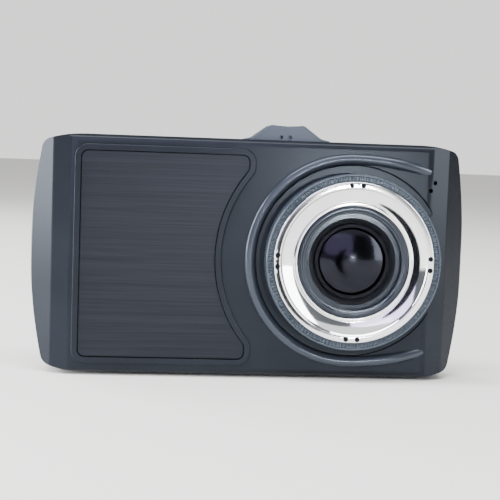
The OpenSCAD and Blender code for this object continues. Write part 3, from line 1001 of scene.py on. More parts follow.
@dataclass
class Workshop:
    """Puts finished forms into the frame and dresses them."""

    frame: dict
    palette: Palette = field(default_factory=Palette)
    middle: Vector = field(init=False)

    def __post_init__(self) -> None:
        """Finds the middle of the case."""
        low, high = (Vector(c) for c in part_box("front_shell"))
        self.middle = Vector(((low.x + high.x) / 2, 0.0, (low.z + high.z) / 2))

    @property
    def lens_x(self) -> float:
        """Distance of the lens axis from the middle of the case."""
        low, high = (Vector(c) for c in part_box("chrome_ring"))
        return 1000.0 * ((low.x + high.x) / 2 - self.middle.x)

    @property
    def lens_place(self) -> Matrix:
        """The lens's own frame: Z runs forward along its axis."""
        return Matrix.Translation((self.lens_x, 0, 0)) @ FRONTWARD

    def span(self, node: str) -> tuple[Vector, Vector]:
        """Gives a CAD node's lowest and highest corners, in millimetres about the case's middle.

        Args:
            node: the node's name.

        Returns:
            The two corners.
        """
        low, high = (1000.0 * (Vector(c) - self.middle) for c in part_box(node))
        return low, high

    def finish(
        self,
        form: Form,
        name: str,
        finish: Union[Shade, Finish],
        slot: str,
        stands_for: Sequence[str] = (),
        body: str = BODY,
        sharp: float = 32.0,
    ) -> bpy.types.Object:
        """Makes the object of a finished form.

        Args:
            form: the form, in millimetres.
            name: the piece's name.
            finish: what it is made of.
            slot: the record's slot of the piece; not used.
            stands_for: the CAD nodes that it stands for.
            body: the body that it rides on.
            sharp: the bend, in degrees, from which an edge shows as an edge.

        Returns:
            The object.
        """
        form.moved(Matrix.Translation(self.middle) @ Matrix.Diagonal((0.001, 0.001, 0.001, 1.0)))
        least = math.radians(sharp)
        for face in form.bm.faces:
            face.smooth = True
        for edge in form.bm.edges:
            edge.smooth = edge.is_manifold and edge.calc_face_angle(0.0) < least
        mesh = bpy.data.meshes.new(name)
        form.bm.to_mesh(mesh)
        form.bm.free()
        mesh.materials.append(self.palette.get(finish))
        made = bpy.data.objects.new(name, mesh)
        bpy.context.scene.collection.objects.link(made)
        shading = made.modifiers.new("even_shading", "WEIGHTED_NORMAL")
        shading.keep_sharp = True
        shading.weight = 50
        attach(made, body)
        if stands_for:
            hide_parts(*stands_for)
        LOG.info("%s: %d faces, rides on %s", name, len(mesh.polygons), body)
        return made


# ---------------------------------------------------------------- case


@dataclass(frozen=True)
class Facet:
    """One straight stretch of a profile: a unit normal and its distance from the middle."""

    normal: Vector
    distance: float


@dataclass
class Blank:
    """The case as one solid block: an outline seen from the front, and faces that fall away."""

    side: list[Point]
    edge_r: float
    face: float
    near: float
    forward: bool
    half_w: float = 50.0
    half_h: float = 26.75
    shoulder_r: float = 30.0
    shoulder_angle: float = 74.0
    corner_r: float = 2.6
    side_angle_top: float = 11.0
    side_angle_bottom: float = 13.5
    seam: float = 0.22

    def outline(self, side_angle: float) -> Iterator[Facet]:
        """Gives the facets of one quarter of the outline, in X and Z.

        Args:
            side_angle: how far the bowed side turns, in degrees.

        Returns:
            The facets.
        """
        s, a = math.radians(self.shoulder_angle), math.radians(side_angle)
        fall = self.shoulder_r * (1 - math.sin(s)) + self.corner_r * (math.sin(s) - math.sin(a))
        side_r = (self.half_h - fall) / math.sin(a)
        side_c = Vector((self.half_w - side_r, 0.0))
        corner_c = side_c + (side_r - self.corner_r) * Vector((math.cos(a), math.sin(a)))
        shoulder_c = corner_c + (self.corner_r - self.shoulder_r) * Vector((math.cos(s), math.sin(s)))
        arcs = (
            (side_c, side_r, 0.0, a, 12),
            (corner_c, self.corner_r, a, s, 8),
            (shoulder_c, self.shoulder_r, s, math.pi / 2, 6),
        )
        yield Facet(Vector((0.0, 1.0)), self.half_h)
        for centre, radius, start, end, steps in arcs:
            step = (end - start) / steps
            for k in range(steps):
                middle = start + (k + 0.5) * step
                normal = Vector((math.cos(middle), math.sin(middle)))
                yield Facet(normal, centre.dot(normal) + radius * math.cos(step / 2))

    @staticmethod
    def between(first: Facet, second: Facet, radius: float, steps: int) -> Iterator[Facet]:
        """Gives the facets that round the corner between two facets of a profile.

        Args:
            first: one facet.
            second: the next facet.
            radius: the radius of the rounding.
            steps: how many strips it has.

        Returns:
            The facets between the two.
        """
        a, b = first.normal, second.normal
        det = a.x * b.y - a.y * b.x
        da, db = first.distance - radius, second.distance - radius
        centre = Vector(((da * b.y - db * a.y) / det, (a.x * db - b.x * da) / det))
        for k in range(1, steps):
            normal = a.lerp(b, k / steps).normalized()
            yield Facet(normal, centre.dot(normal) + radius)

    def side_facets(self, soft: bool) -> Iterator[Facet]:
        """Gives the facets of the profile in X and depth, from the middle to the side.

        Args:
            soft: whether the corners are rounded.

        Returns:
            The facets.
        """
        facets = []
        for (x0, d0), (x1, d1) in zip(self.side, self.side[1:]):
            normal = Vector((d1 - d0, x1 - x0)).normalized()
            facets.append(Facet(normal, normal.dot(Vector((x0, self.face - d0)))))
        yield from facets
        if soft:
            for first, second, radius in zip(facets, facets[1:], (5.0, 2.2, 1.6)):
                yield from self.between(first, second, radius, 5)

    def edge_facets(self, soft: bool) -> Iterator[Facet]:
        """Gives the facets of the profile in Z and depth, from the middle to the edge.

        Args:
            soft: whether the corner is rounded finely.

        Returns:
            The facets.
        """
        face = Facet(Vector((0.0, 1.0)), self.face)
        edge = Facet(Vector((1.0, 0.0)), self.half_h)
        yield face
        if soft:
            yield from self.between(face, edge, self.edge_r, 9)
        else:
            yield from self.between(face, edge, self.edge_r, 3)

    def form(self, inset: float = 0.0, overrun: float = 0.0) -> Form:
        """Makes the block.

        Args:
            inset: how far inside the outer faces it lies.
            overrun: how far it runs past the seam between the two shells.

        Returns:
            The block.
        """
        soft = inset == 0.0
        sign = -1.0 if self.forward else 1.0
        form = Form.block((-80, -40, -50), (80, 40, 50))
        facets: list[tuple[Vector, float]] = []
        for side_angle, up in ((self.side_angle_top, 1.0), (self.side_angle_bottom, -1.0)):
            for facet in self.outline(side_angle):
                for x in (1.0, -1.0):
                    facets.append((Vector((x * facet.normal.x, 0, up * facet.normal.y)), facet.distance))
        rims = list(facets)
        for facet in self.side_facets(soft):
            for x in (1.0, -1.0):
                normal = Vector((x * facet.normal.x, sign * facet.normal.y, 0))
                facets.append((normal, facet.distance))
        for facet in self.edge_facets(soft):
            for up in (1.0, -1.0):
                normal = Vector((0, sign * facet.normal.y, up * facet.normal.x))
                facets.append((normal, facet.distance))
        for normal, distance in facets:
            form.cut_by(normal * (distance - inset), normal)
        back = Vector((0, -sign, 0))
        depth = self.near * -sign + overrun
        form.cut_by(back * depth, back)
        if soft and self.seam:
            lean = math.sqrt(0.5)
            for normal, distance in rims:
                slanted = (normal + back) * lean
                form.cut_by(slanted * ((distance + depth - self.seam) * lean), slanted)
        return form.clean()


@dataclass
class Plate:
    """The brushed plate beside the lens, with a concave end that follows the lens ring."""

    left: float = -38.7
    right: float = -1.1
    half_h: float = 23.2
    corner: float = 1.6
    arc_r: float = 30.9
    face: float = 8.0
    recess: float = 0.8

    def outline(self, lens_x: float, grow: float) -> Pen:
        """Draws the plate's outline.

        Args:
            lens_x: where the lens axis is.
            grow: how far outside the plate's own edge it runs.

        Returns:
            The pen, back at its start.
        """
        r = self.corner + grow
        x, z = self.right - self.corner, self.half_h - self.corner
        dx = lens_x - x
        hook_z = math.sqrt((self.arc_r + self.corner) ** 2 - dx * dx)
        turn = math.degrees(math.atan2(hook_z, dx))
        left = self.left + self.corner
        pen = Pen(x, z + r).arc(x, z, -90).line(x + r, hook_z).arc(x, hook_z, -turn)
        pen.arc(lens_x, 0, 2 * turn, 48)
        pen.arc(x, -hook_z, -turn).line(x + r, -z).arc(x, -z, -90)
        pen.line(left, -z - r).arc(left, -z, -90).line(left - r, z).arc(left, z, -90)
        return pen

    def build(self, shop: Workshop) -> None:
        """Makes the plate.

        Args:
            shop: the workshop.
        """
        form = self.outline(shop.lens_x, -0.03).raised(self.face - self.recess, self.face - 0.05)
        form.soften(0.16, 60, 3)
        shop.finish(form, "brushed_plate", Shade.PLATE, "plate_black", ["front_plate"])


@dataclass
class FrontShell:
    """The front half of the case, with the lip round the plate and the line round the lens."""

    wall: float = 1.8
    blank: Blank = field(default_factory=lambda: Blank(
        side=[(0, 0), (40.3, 0), (45, 1.95), (50, 6.5), (50, 14)],
        edge_r=1.7, face=8.0, near=3.0, forward=True))
    plate: Plate = field(default_factory=Plate)
    lip_w: float = 1.45
    lip_h: float = 0.5
    lip_round: float = 0.42
    line_r: float = 23.1
    line_half: float = 1.25
    line_height: float = 8.03
    arm_r: float = 63.6
    arm_angle: float = 16.2
    droop: float = 1.35
    droop_from: float = 8.0
    droop_over: float = 10.0
    groove: float = 21.9
    seat: float = 7.6

    def lip(self, lens_x: float) -> Form:
        """Makes the raised lip that frames the plate.

        Args:
            lens_x: where the lens axis is.

        Returns:
            The lip.
        """
        form = self.plate.outline(lens_x, self.lip_w).raised(7.0, 8.0 + self.lip_h)
        front = min(v.co.y for v in form.bm.verts) + 1e-4
        rim = [e for e in form.bm.edges if all(v.co.y < front for v in e.verts)]
        return form.bevel(rim, self.lip_round, 4)

    def line(self, lens_place: Matrix) -> Form:
        """Makes the raised line: a half ring whose two ends run on as long shallow arms.

        Args:
            lens_place: the lens's own frame.

        Returns:
            The line.
        """
        form = Form()
        bm = form.bm
        sides = 20
        section = [
            bm.verts.new((
                0.0,
                self.line_r + self.line_half * math.cos(math.tau * k / sides),
                self.line_height + self.line_half * math.sin(math.tau * k / sides),
            ))
            for k in range(sides)
        ]
        loop = [bm.edges.new(pair) for pair in zip(section, section[1:] + section[:1])]
        start = [*section, *loop]
        ring = bmesh.ops.spin(
            bm, geom=start, cent=(0, 0, 0), axis=(0, 0, 1), dvec=(0, 0, 0),
            angle=math.pi, steps=72, use_merge=False, use_duplicate=False,
        )["geom_last"]
        offset = self.arm_r - self.line_r
        arm = math.radians(self.arm_angle)
        ends = []
        for geometry, y, angle in ((ring, offset, arm), (start, -offset, -arm)):
            last = bmesh.ops.spin(
                bm, geom=geometry, cent=(0, y, 0), axis=(0, 0, 1), dvec=(0, 0, 0),
                angle=angle, steps=14, use_merge=False, use_duplicate=False,
            )["geom_last"]
            ends.append([g for g in last if isinstance(g, bmesh.types.BMEdge)])
        for end in ends:
            bmesh.ops.edgeloop_fill(bm, edges=end)
        for vert in bm.verts:
            vert.co.z -= self.droop * max(0.0, (vert.co.x - self.droop_from) / self.droop_over) ** 2
        return form.clean().moved(lens_place)

    def openings(self, shop: Workshop) -> list[Form]:
        """Makes the shapes that are cut out of the front shell.

        Args:
            shop: the workshop.

        Returns:
            The cutters.
        """
        place = shop.lens_place
        forms = [
            Form.turned([(0, -8), (18.95, -8), (18.95, 20), (0, 20)], 160, solid=True).moved(place),
            self.plate.outline(shop.lens_x, 0.04).raised(7.2, 10.0),
        ]
        return forms

    def edge_openings(self, shop: Workshop) -> Iterator[Form]:
        """Makes the cuts through the top, bottom and side edges.

        Args:
            shop: the workshop.

        Returns:
            The cutters, one after another.
        """
        up = Matrix.Identity(4)
        down = Matrix.Rotation(math.pi, 4, "X")
        leftward = Matrix.Rotation(math.radians(-90), 4, "Y")
        slots = Form()
        for key in KEYS:
            low, high = shop.span(f"{key}_key")
            slots.add(pill(5.3, 2.7, 23.5, 28.5, Matrix.Translation(((low.x + high.x) / 2, 0.75, 0)) @ down))
        yield slots
        screws = Form()
        stepped = [(0, 23.0), (0.95, 23.0), (0.95, 25.55), (1.65, 25.55), (1.65, 28.0), (0, 28.0)]
        for x in (-41.0, 41.0):
            for turn in (up, down):
                screws.add(Form.turned(stepped, 32, solid=True).moved(Matrix.Translation((x, 0, 0)) @ turn))
        yield screws
        low, high = shop.span("usb_socket")
        yield rounded_bar(8.2, 4.3, 0.5, 24.0, 28.0, Matrix.Translation(((low.x + high.x) / 2, -0.35, 0)))
        low, high = shop.span("av_jack")
        yield rod(2.75, 24.0, 26.95, Matrix.Translation(((low.x + high.x) / 2, -0.9, 0)), 40, 0.4)
        yield pill(12.2, 1.8, 46.0, 52.0, Matrix.Translation((0, 0.8, 6.1)) @ leftward)
        yield rod(0.6, 46.0, 52.0, Matrix.Translation((0, 0.75, -6.8)) @ leftward, 20)
        holes = Form()
        for i in range(6):
            for y in (-3.2, -1.2):
                holes.add(rod(0.5, 23.5, 26.95, Matrix.Translation((27 + 1.7 * i, y, 0)) @ down, 16, 0.25))
        for x, z in ((41.5, 18.3), (40.5, 16.5)):
            holes.add(rod(0.5, 3.5, 9.0, Matrix.Translation((x, 0, z)) @ FRONTWARD, 20))
        yield holes
        yield Form.block((1.75, -4.25, 23.5), (13.25, 5.0, 28.0))

    def build(self, shop: Workshop) -> None:
        """Makes the front shell.

        Args:
            shop: the workshop.
        """
        form = self.blank.form()
        form.combine(Join.ADD, self.lip(shop.lens_x))
        form.combine(Join.CUT, self.blank.form(self.wall, 1.0))
        groove = rounded([
            (17.0, self.seat, 0), (self.groove, self.seat, 0.35), (self.groove, 11, 0), (17.0, 11, 0),
        ])
        form.combine(Join.CUT, Form.turned(groove, 160).moved(shop.lens_place))
        for cut in self.openings(shop):
            form.combine(Join.CUT, cut)
        for cut in self.edge_openings(shop):
            form.combine(Join.CUT, cut)
        shop.finish(form, "case_front", Shade.CASE, "case_black", ["front_shell"])
        # The raised line wears the lighter copy of the case plastic: a painted highlight along the ridge
        shop.finish(self.line(shop.lens_place), "raised_line", Shade.LINE_HIGHLIGHT, "case_black", ["front_shell"])


@dataclass
class RearShell:
    """The rear half of the case, which frames the screen."""

    blank: Blank = field(default_factory=lambda: Blank(
        side=[(0, 0), (40.3, 0), (44.8, 1.9), (50, 5), (50, 14)],
        edge_r=1.5, face=8.0, near=3.0, forward=False))
    glass: tuple[float, float] = (79.6, 47.2)
    ledge: float = 5.9
    bed: float = 6.7

    def build(self, shop: Workshop) -> None:
        """Makes the rear shell.

        Args:
            shop: the workshop.
        """
        form = self.blank.form()
        width, height = self.glass
        form.combine(Join.CUT, rounded_bar(width + 0.3, height + 0.3, 2.1, -9, -self.bed))
        lip = rounded_bar(width + 0.9, height + 0.9, 2.4, -9, -7.72)
        form.combine(Join.CUT, lip)
        form.combine(Join.CUT, Form.block((-38.9, 0, -22.4), (38.9, 9, 22.4)))
        form.combine(Join.CUT, Form.block((-40.9, 0, -24.6), (40.9, self.ledge, 24.6)))
        form.combine(Join.CUT, Form.block((1.75, 0, 23.9), (13.25, 5.25, 28.0)))
        form.combine(Join.CUT, rod(1.0, -9, -2, Matrix.Translation((-45, 0, -9.7)) @ FRONTWARD, 24))
        shop.finish(form, "case_back", Shade.BACK, "back_black", ["rear_shell"])


@dataclass
class Shoe:
    """The foot on top of the case that a windscreen bracket holds."""

    x: float = 7.5
    foot: float = 9.8
    height: float = 3.5
    front: float = 4.6
    back: float = -5.6
    rounding: float = 0.45

    def profile(self) -> Form:
        """Makes the foot's body, with its hollow flanks and dished top.

        Returns:
            The body.
        """
        z = 26.75
        pen = Pen(self.x, z + self.height - 0.25)
        pen.line(self.x + 2.2, z + self.height - 0.12).line(self.x + 3.4, z + self.height)
        pen.arc(self.x + 3.4, z + self.height - 1.2, -42, 6)
        pen.line(self.x + 6.75, z + 1.35).arc(self.x + 9.3, z + 4.1, 40, 8).line(self.x + self.foot, z + 0.15)
        pen.line(self.x + self.foot, z).line(self.x, z)
        half = pen.raised(self.back, self.front)
        mirror = Form().add(half)
        flip = Matrix.Scale(-1, 4, (1, 0, 0))
        flip = Matrix.Translation((self.x, 0, 0)) @ flip @ Matrix.Translation((-self.x, 0, 0))
        half.combine(Join.ADD, mirror.moved(flip))
        bmesh.ops.dissolve_limit(half.bm, angle_limit=0.01, verts=half.bm.verts[:], edges=half.bm.edges[:])
        return half

    def build(self, shop: Workshop) -> None:
        """Makes the shoe.

        Args:
            shop: the workshop.
        """
        form = self.profile()
        front = min(v.co.y for v in form.bm.verts) + 1e-3
        back = max(v.co.y for v in form.bm.verts) - 1e-3
        rims = [
            e for e in form.bm.edges
            if (all(v.co.y < front for v in e.verts) or all(v.co.y > back for v in e.verts))
            and max(v.co.z for v in e.verts) > 26.8
        ]
        form.bevel(rims, self.rounding, 4)
        x = self.x
        form.combine(Join.ADD, Form.block((x - 5.6, -4.1, 24.5), (x + 5.6, 5.1, 27.0)))
        form.combine(Join.ADD, Form.block((x - 7.5, -5.2, 23.7), (x + 7.5, 3.0, 24.9)))
        form.combine(Join.CUT, Form.block((x - 4.2, -3.4, 25.6), (x + 4.2, 4.4, 28.65)))
        form.combine(Join.CUT, Form.block((x - 2.3, -3.4, 28.0), (x + 2.3, 4.4, 32.0)))
        form.combine(Join.CUT, Form.block((x - 4.2, 0.8, 28.0), (x + 4.2, 4.4, 32.0)))
        for dx in (-1.4, 0.6):
            place = Matrix.Translation((x + dx, 0, 27.5)) @ FRONTWARD
            form.combine(Join.CUT, rod(0.42, 3.6, 5.2, place, 20))
        shop.finish(form, "bracket_shoe", Shade.SHOE, "shoe_grey", ["mount_shoe"])


# ---------------------------------------------------------------- lens


@dataclass
class LensStack:
    """The ring, chrome, rim, cover glass and what shows behind it."""

    reach: float = 13.3
    outer: float = 19.8
    ribs: int = 150
    rib_depth: float = 0.22
    marks: tuple[float, ...] = (90.0, 180.0, 270.0, 0.0)

    def ribbed_ring(self) -> Form:
        """Makes the outer ring, whose front band is ribbed.

        Returns:
            The ring.
        """
        top = self.reach - 0.4
        profile = rounded([
            (18.15, 8.6, 0), (17.0, 8.6, 0), (17.0, 7.15, 0), (16.0, 7.15, 0), (16.0, 5.6, 0),
            (18.9, 5.6, 0), (18.9, 7.6, 0), (self.outer, 7.6, 0.1), (self.outer, top, 0.55),
            (19.35, top, 0.1), (19.25, top - 0.25, 0.05), (18.35, top - 0.25, 0.05),
            (18.25, top, 0.05), (18.15, top - 0.1, 0.0),
        ], 3)
        steps = self.ribs * 4
        form = Form.turned(profile, steps)
        for vert in form.bm.verts:
            radius = math.hypot(vert.co.x, vert.co.y)
            if 18.3 < radius < 19.3 and vert.co.z > top - 0.6:
                turn = round(math.atan2(vert.co.y, vert.co.x) / math.tau * steps)
                if turn % 4 in (0, 1):
                    vert.co.z -= self.rib_depth
        return form

    def chrome(self) -> Form:
        """Makes the bright ring: a flat front band, a cone and a small lip at the rim.

        Returns:
            The ring.
        """
        h = self.reach
        profile = rounded([
            (12.7, 8.65, 0), (13.7, 8.65, 0), (13.7, 9.7, 0), (16.1, 11.3, 0), (17.1, 11.3, 0),
            (17.1, 8.65, 0), (18.1, 8.65, 0), (18.1, h - 0.02, 0.35), (16.7, h, 0.30),
            (16.35, h - 0.42, 0.25), (15.0, h - 1.15, 1.2), (13.55, h - 1.75, 0.35),
            (13.35, h - 1.5, 0.12), (12.7, h - 1.5, 0.2),
        ], 5)
        return Form.turned(profile, 192).combine(Join.CUT, self.dots(0.58, h - 0.8, h + 1))

    def dots(self, r: float, low: float, high: float) -> Form:
        """Makes the pairs of small dots round the bright ring.

        Args:
            r: the radius of a dot.
            low: its lower end.
            high: its upper end.

        Returns:
            The dots.
        """
        dots = Form()
        for mark in self.marks:
            for side in (-1, 1):
                turn = math.radians(mark) + side * 1.3 / 17.3
                place = Matrix.Translation((17.3 * math.cos(turn), 17.3 * math.sin(turn), 0))
                dots.add(rod(r, low, high, place, 20))
        return dots

    def rim(self) -> Form:
        """Makes the dark rim that holds the cover glass.

        Returns:
            The rim.
        """
        return Form.turned(rounded([
            (9.9, 7.2, 0), (16.9, 7.2, 0), (16.9, 8.55, 0), (12.6, 8.55, 0), (12.6, 12.0, 0.55),
            (11.7, 12.0, 0.2), (11.5, 11.75, 0.1), (11.0, 11.75, 0.15), (11.0, 10.2, 0), (9.9, 10.2, 0),
        ], 4), 160)

    def dome(self, radius: float, vertex: float, curve_r: float, back: float, thick: float) -> Form:
        """Makes a domed glass.

        Args:
            radius: its own radius.
            vertex: the height of its middle.
            curve_r: the radius of its outer curve.
            back: the height of its foot.
            thick: its thickness, or 0 for a flat back.

        Returns:
            The glass.
        """
        centre = vertex - curve_r
        steps = 20
        rise = [radius * math.sin(math.pi / 2 * k / steps) for k in range(steps + 1)]
        outer = [(r, centre + math.sqrt(curve_r**2 - r * r)) for r in rise]
        if thick:
            inner_r = curve_r - thick
            inner = [(r, max(back, centre + math.sqrt(inner_r**2 - r * r))) for r in reversed(rise)]
        else:
            inner = [(radius, back), (0.0, back)]
        return Form.turned([*outer, *inner], 96, solid=True)

    def barrel(self) -> Form:
        """Makes the barrel with its stepped light baffles.

        Returns:
            The barrel.
        """
        return Form.turned(rounded([
            (3.6, 0.9, 0), (5.9, 0.9, 0), (5.9, 5.9, 0), (8.6, 5.9, 0), (8.6, 9.9, 0.3), (7.7, 9.9, 0.1),
            (7.7, 8.3, 0), (6.9, 8.3, 0), (6.9, 7.4, 0), (6.2, 7.4, 0), (6.2, 6.4, 0), (5.4, 6.4, 0),
            (5.4, 5.2, 0), (4.6, 5.2, 0), (4.6, 2.2, 0), (3.6, 2.2, 0),
        ], 3), 96)

    def baffle(self) -> Form:
        """Makes the dark funnel between the rim and the barrel's head.

        Returns:
            The funnel.
        """
        return Form.turned(rounded([
            (8.75, 9.0, 0), (9.85, 9.0, 0), (9.85, 10.1, 0), (9.3, 9.9, 0.1), (9.1, 9.6, 0.1), (8.75, 9.5, 0),
        ], 2), 96)

    def build(self, shop: Workshop) -> None:
        """Makes the lens.

        Args:
            shop: the workshop.
        """
        place = shop.lens_place
        shop.finish(self.ribbed_ring().moved(place), "ribbed_ring", Shade.RIBBED, "ring_grey", ["bezel_ring"])
        shop.finish(self.chrome().moved(place), "chrome_cone", Shade.CHROME, "ring_bright", ["chrome_ring"])
        plugs = self.dots(0.56, self.reach - 0.78, self.reach - 0.28).moved(place)
        shop.finish(plugs, "ring_dots", Shade.LENS_BLACK, "lens_black")
        shop.finish(self.rim().moved(place), "glass_rim", Shade.RIM, "rim_black", ["lens_rim"])
        cover = self.dome(10.95, 12.8, 43.1, 10.2, 1.1).moved(place)
        shop.finish(cover, "lens_cover", Shade.COVER, "lens_glass", ["cover_glass"], sharp=50)
        shop.finish(self.barrel().moved(place), "lens_tube", Shade.LENS_BLACK, "lens_black", ["lens_barrel"])
        shop.finish(self.baffle().moved(place), "light_baffle", Shade.LENS_BLACK, "lens_black")
        front = self.dome(7.65, 11.0, 17.2, 8.35, 0.0).moved(place)
        shop.finish(front, "front_lens", Shade.ELEMENT, "inner_glass", ["front_element"], sharp=50)


# ---------------------------------------------------------------- keys and fittings


@dataclass
class Keys:
    """The five keys along the bottom edge."""

    length: float = 5.0
    width: float = 2.4
    rounding: float = 0.28
    dish: float = 0.28
    dish_half: float = 1.75
    dished_from: float = 26.6
    strip: float = 0.22
    strips: int = 9
    centre_y: float = 0.75

    def cap(self) -> Form:
        """Makes one cap, tip up, with a dish between its two ends.

        Returns:
            The cap.
        """
        form = pill(self.length, self.width, 24.9, 27.4, Matrix.Identity(4))
        tip = max(v.co.z for v in form.bm.verts) - 1e-4
        rim = [e for e in form.bm.edges if all(v.co.z > tip for v in e.verts)]
        form.bevel(rim, self.rounding, 4)
        for k in range(-self.strips, self.strips + 1):
            everything = [*form.bm.verts, *form.bm.edges, *form.bm.faces]
            line = (k * self.strip, 0, 0)
            bmesh.ops.bisect_plane(form.bm, geom=everything, plane_co=line, plane_no=(1, 0, 0))
        for vert in form.bm.verts:
            if vert.co.z > self.dished_from:
                inside = max(0.0, 1.0 - abs(vert.co.x) / self.dish_half)
                vert.co.z -= self.dish * math.sin(inside * math.pi / 2) ** 1.5
        return form

    def build(self, shop: Workshop) -> None:
        """Makes the keys, each on its own body.

        Args:
            shop: the workshop.
        """
        down = Matrix.Rotation(math.pi, 4, "X")
        for key in KEYS:
            low, high = shop.span(f"{key}_key")
            x = (low.x + high.x) / 2
            form = self.cap().moved(Matrix.Translation((x, self.centre_y, 0)) @ down)
            y = self.centre_y
            form.combine(Join.ADD, Form.block((x - 3.2, y - 1.65, -24.92), (x + 3.2, y + 1.65, -24.1)))
            form.combine(Join.ADD, Form.block((x - 0.8, y - 0.5, -24.2), (x + 0.8, y + 0.5, -23.7)))
            shop.finish(form, f"{key}_cap", Shade.KEY, "key_black", [f"{key}_key"], f"{key}_button")


@dataclass
class Fittings:
    """The case screws and the status light."""

    screw_x: float = 41.0
    seat: float = 25.55

    def screw(self) -> Form:
        """Makes one screw, head up, with a crossed recess.

        Returns:
            The screw.
        """
        form = Form.turned(rounded([
            (0, 21.6, 0), (0.6, 21.6, 0), (0.85, 22.2, 0), (0.85, self.seat, 0), (1.5, self.seat, 0.05),
            (1.5, self.seat + 0.55, 0.3), (0.8, self.seat + 0.8, 0.3), (0, self.seat + 0.8, 0),
        ], 3), 32, solid=True)
        cross = Form.block((-0.95, -0.17, self.seat + 0.35), (0.95, 0.17, self.seat + 1))
        cross.combine(Join.ADD, Form.block((-0.17, -0.95, self.seat + 0.35), (0.17, 0.95, self.seat + 1)))
        return form.combine(Join.CUT, cross)

    def build(self, shop: Workshop) -> None:
        """Makes the fittings.

        Args:
            shop: the workshop.
        """
        screws = Form()
        for x, tilt in ((-self.screw_x, 20), (self.screw_x, 65)):
            for turn in (0.0, math.pi):
                spin = Matrix.Rotation(math.radians(tilt), 4, "Z")
                place = Matrix.Translation((x, 0, 0)) @ Matrix.Rotation(turn, 4, "X") @ spin
                screws.add(self.screw().moved(place))
        shop.finish(screws, "edge_screws", Shade.SCREW, "screw_black", ["case_screws"])
        profile = rounded([(0, -3.3, 0), (0.95, -3.3, 0), (0.95, -5.55, 0.5), (0, -5.95, 0)], 5)
        pipe = Form.turned(profile, 32, solid=True)
        pipe.moved(Matrix.Translation((-45, 0, -9.7)) @ FRONTWARD)
        shop.finish(pipe, "status_lens", Shade.PIPE, "light_clear", ["status_light"])


# ---------------------------------------------------------------- screen


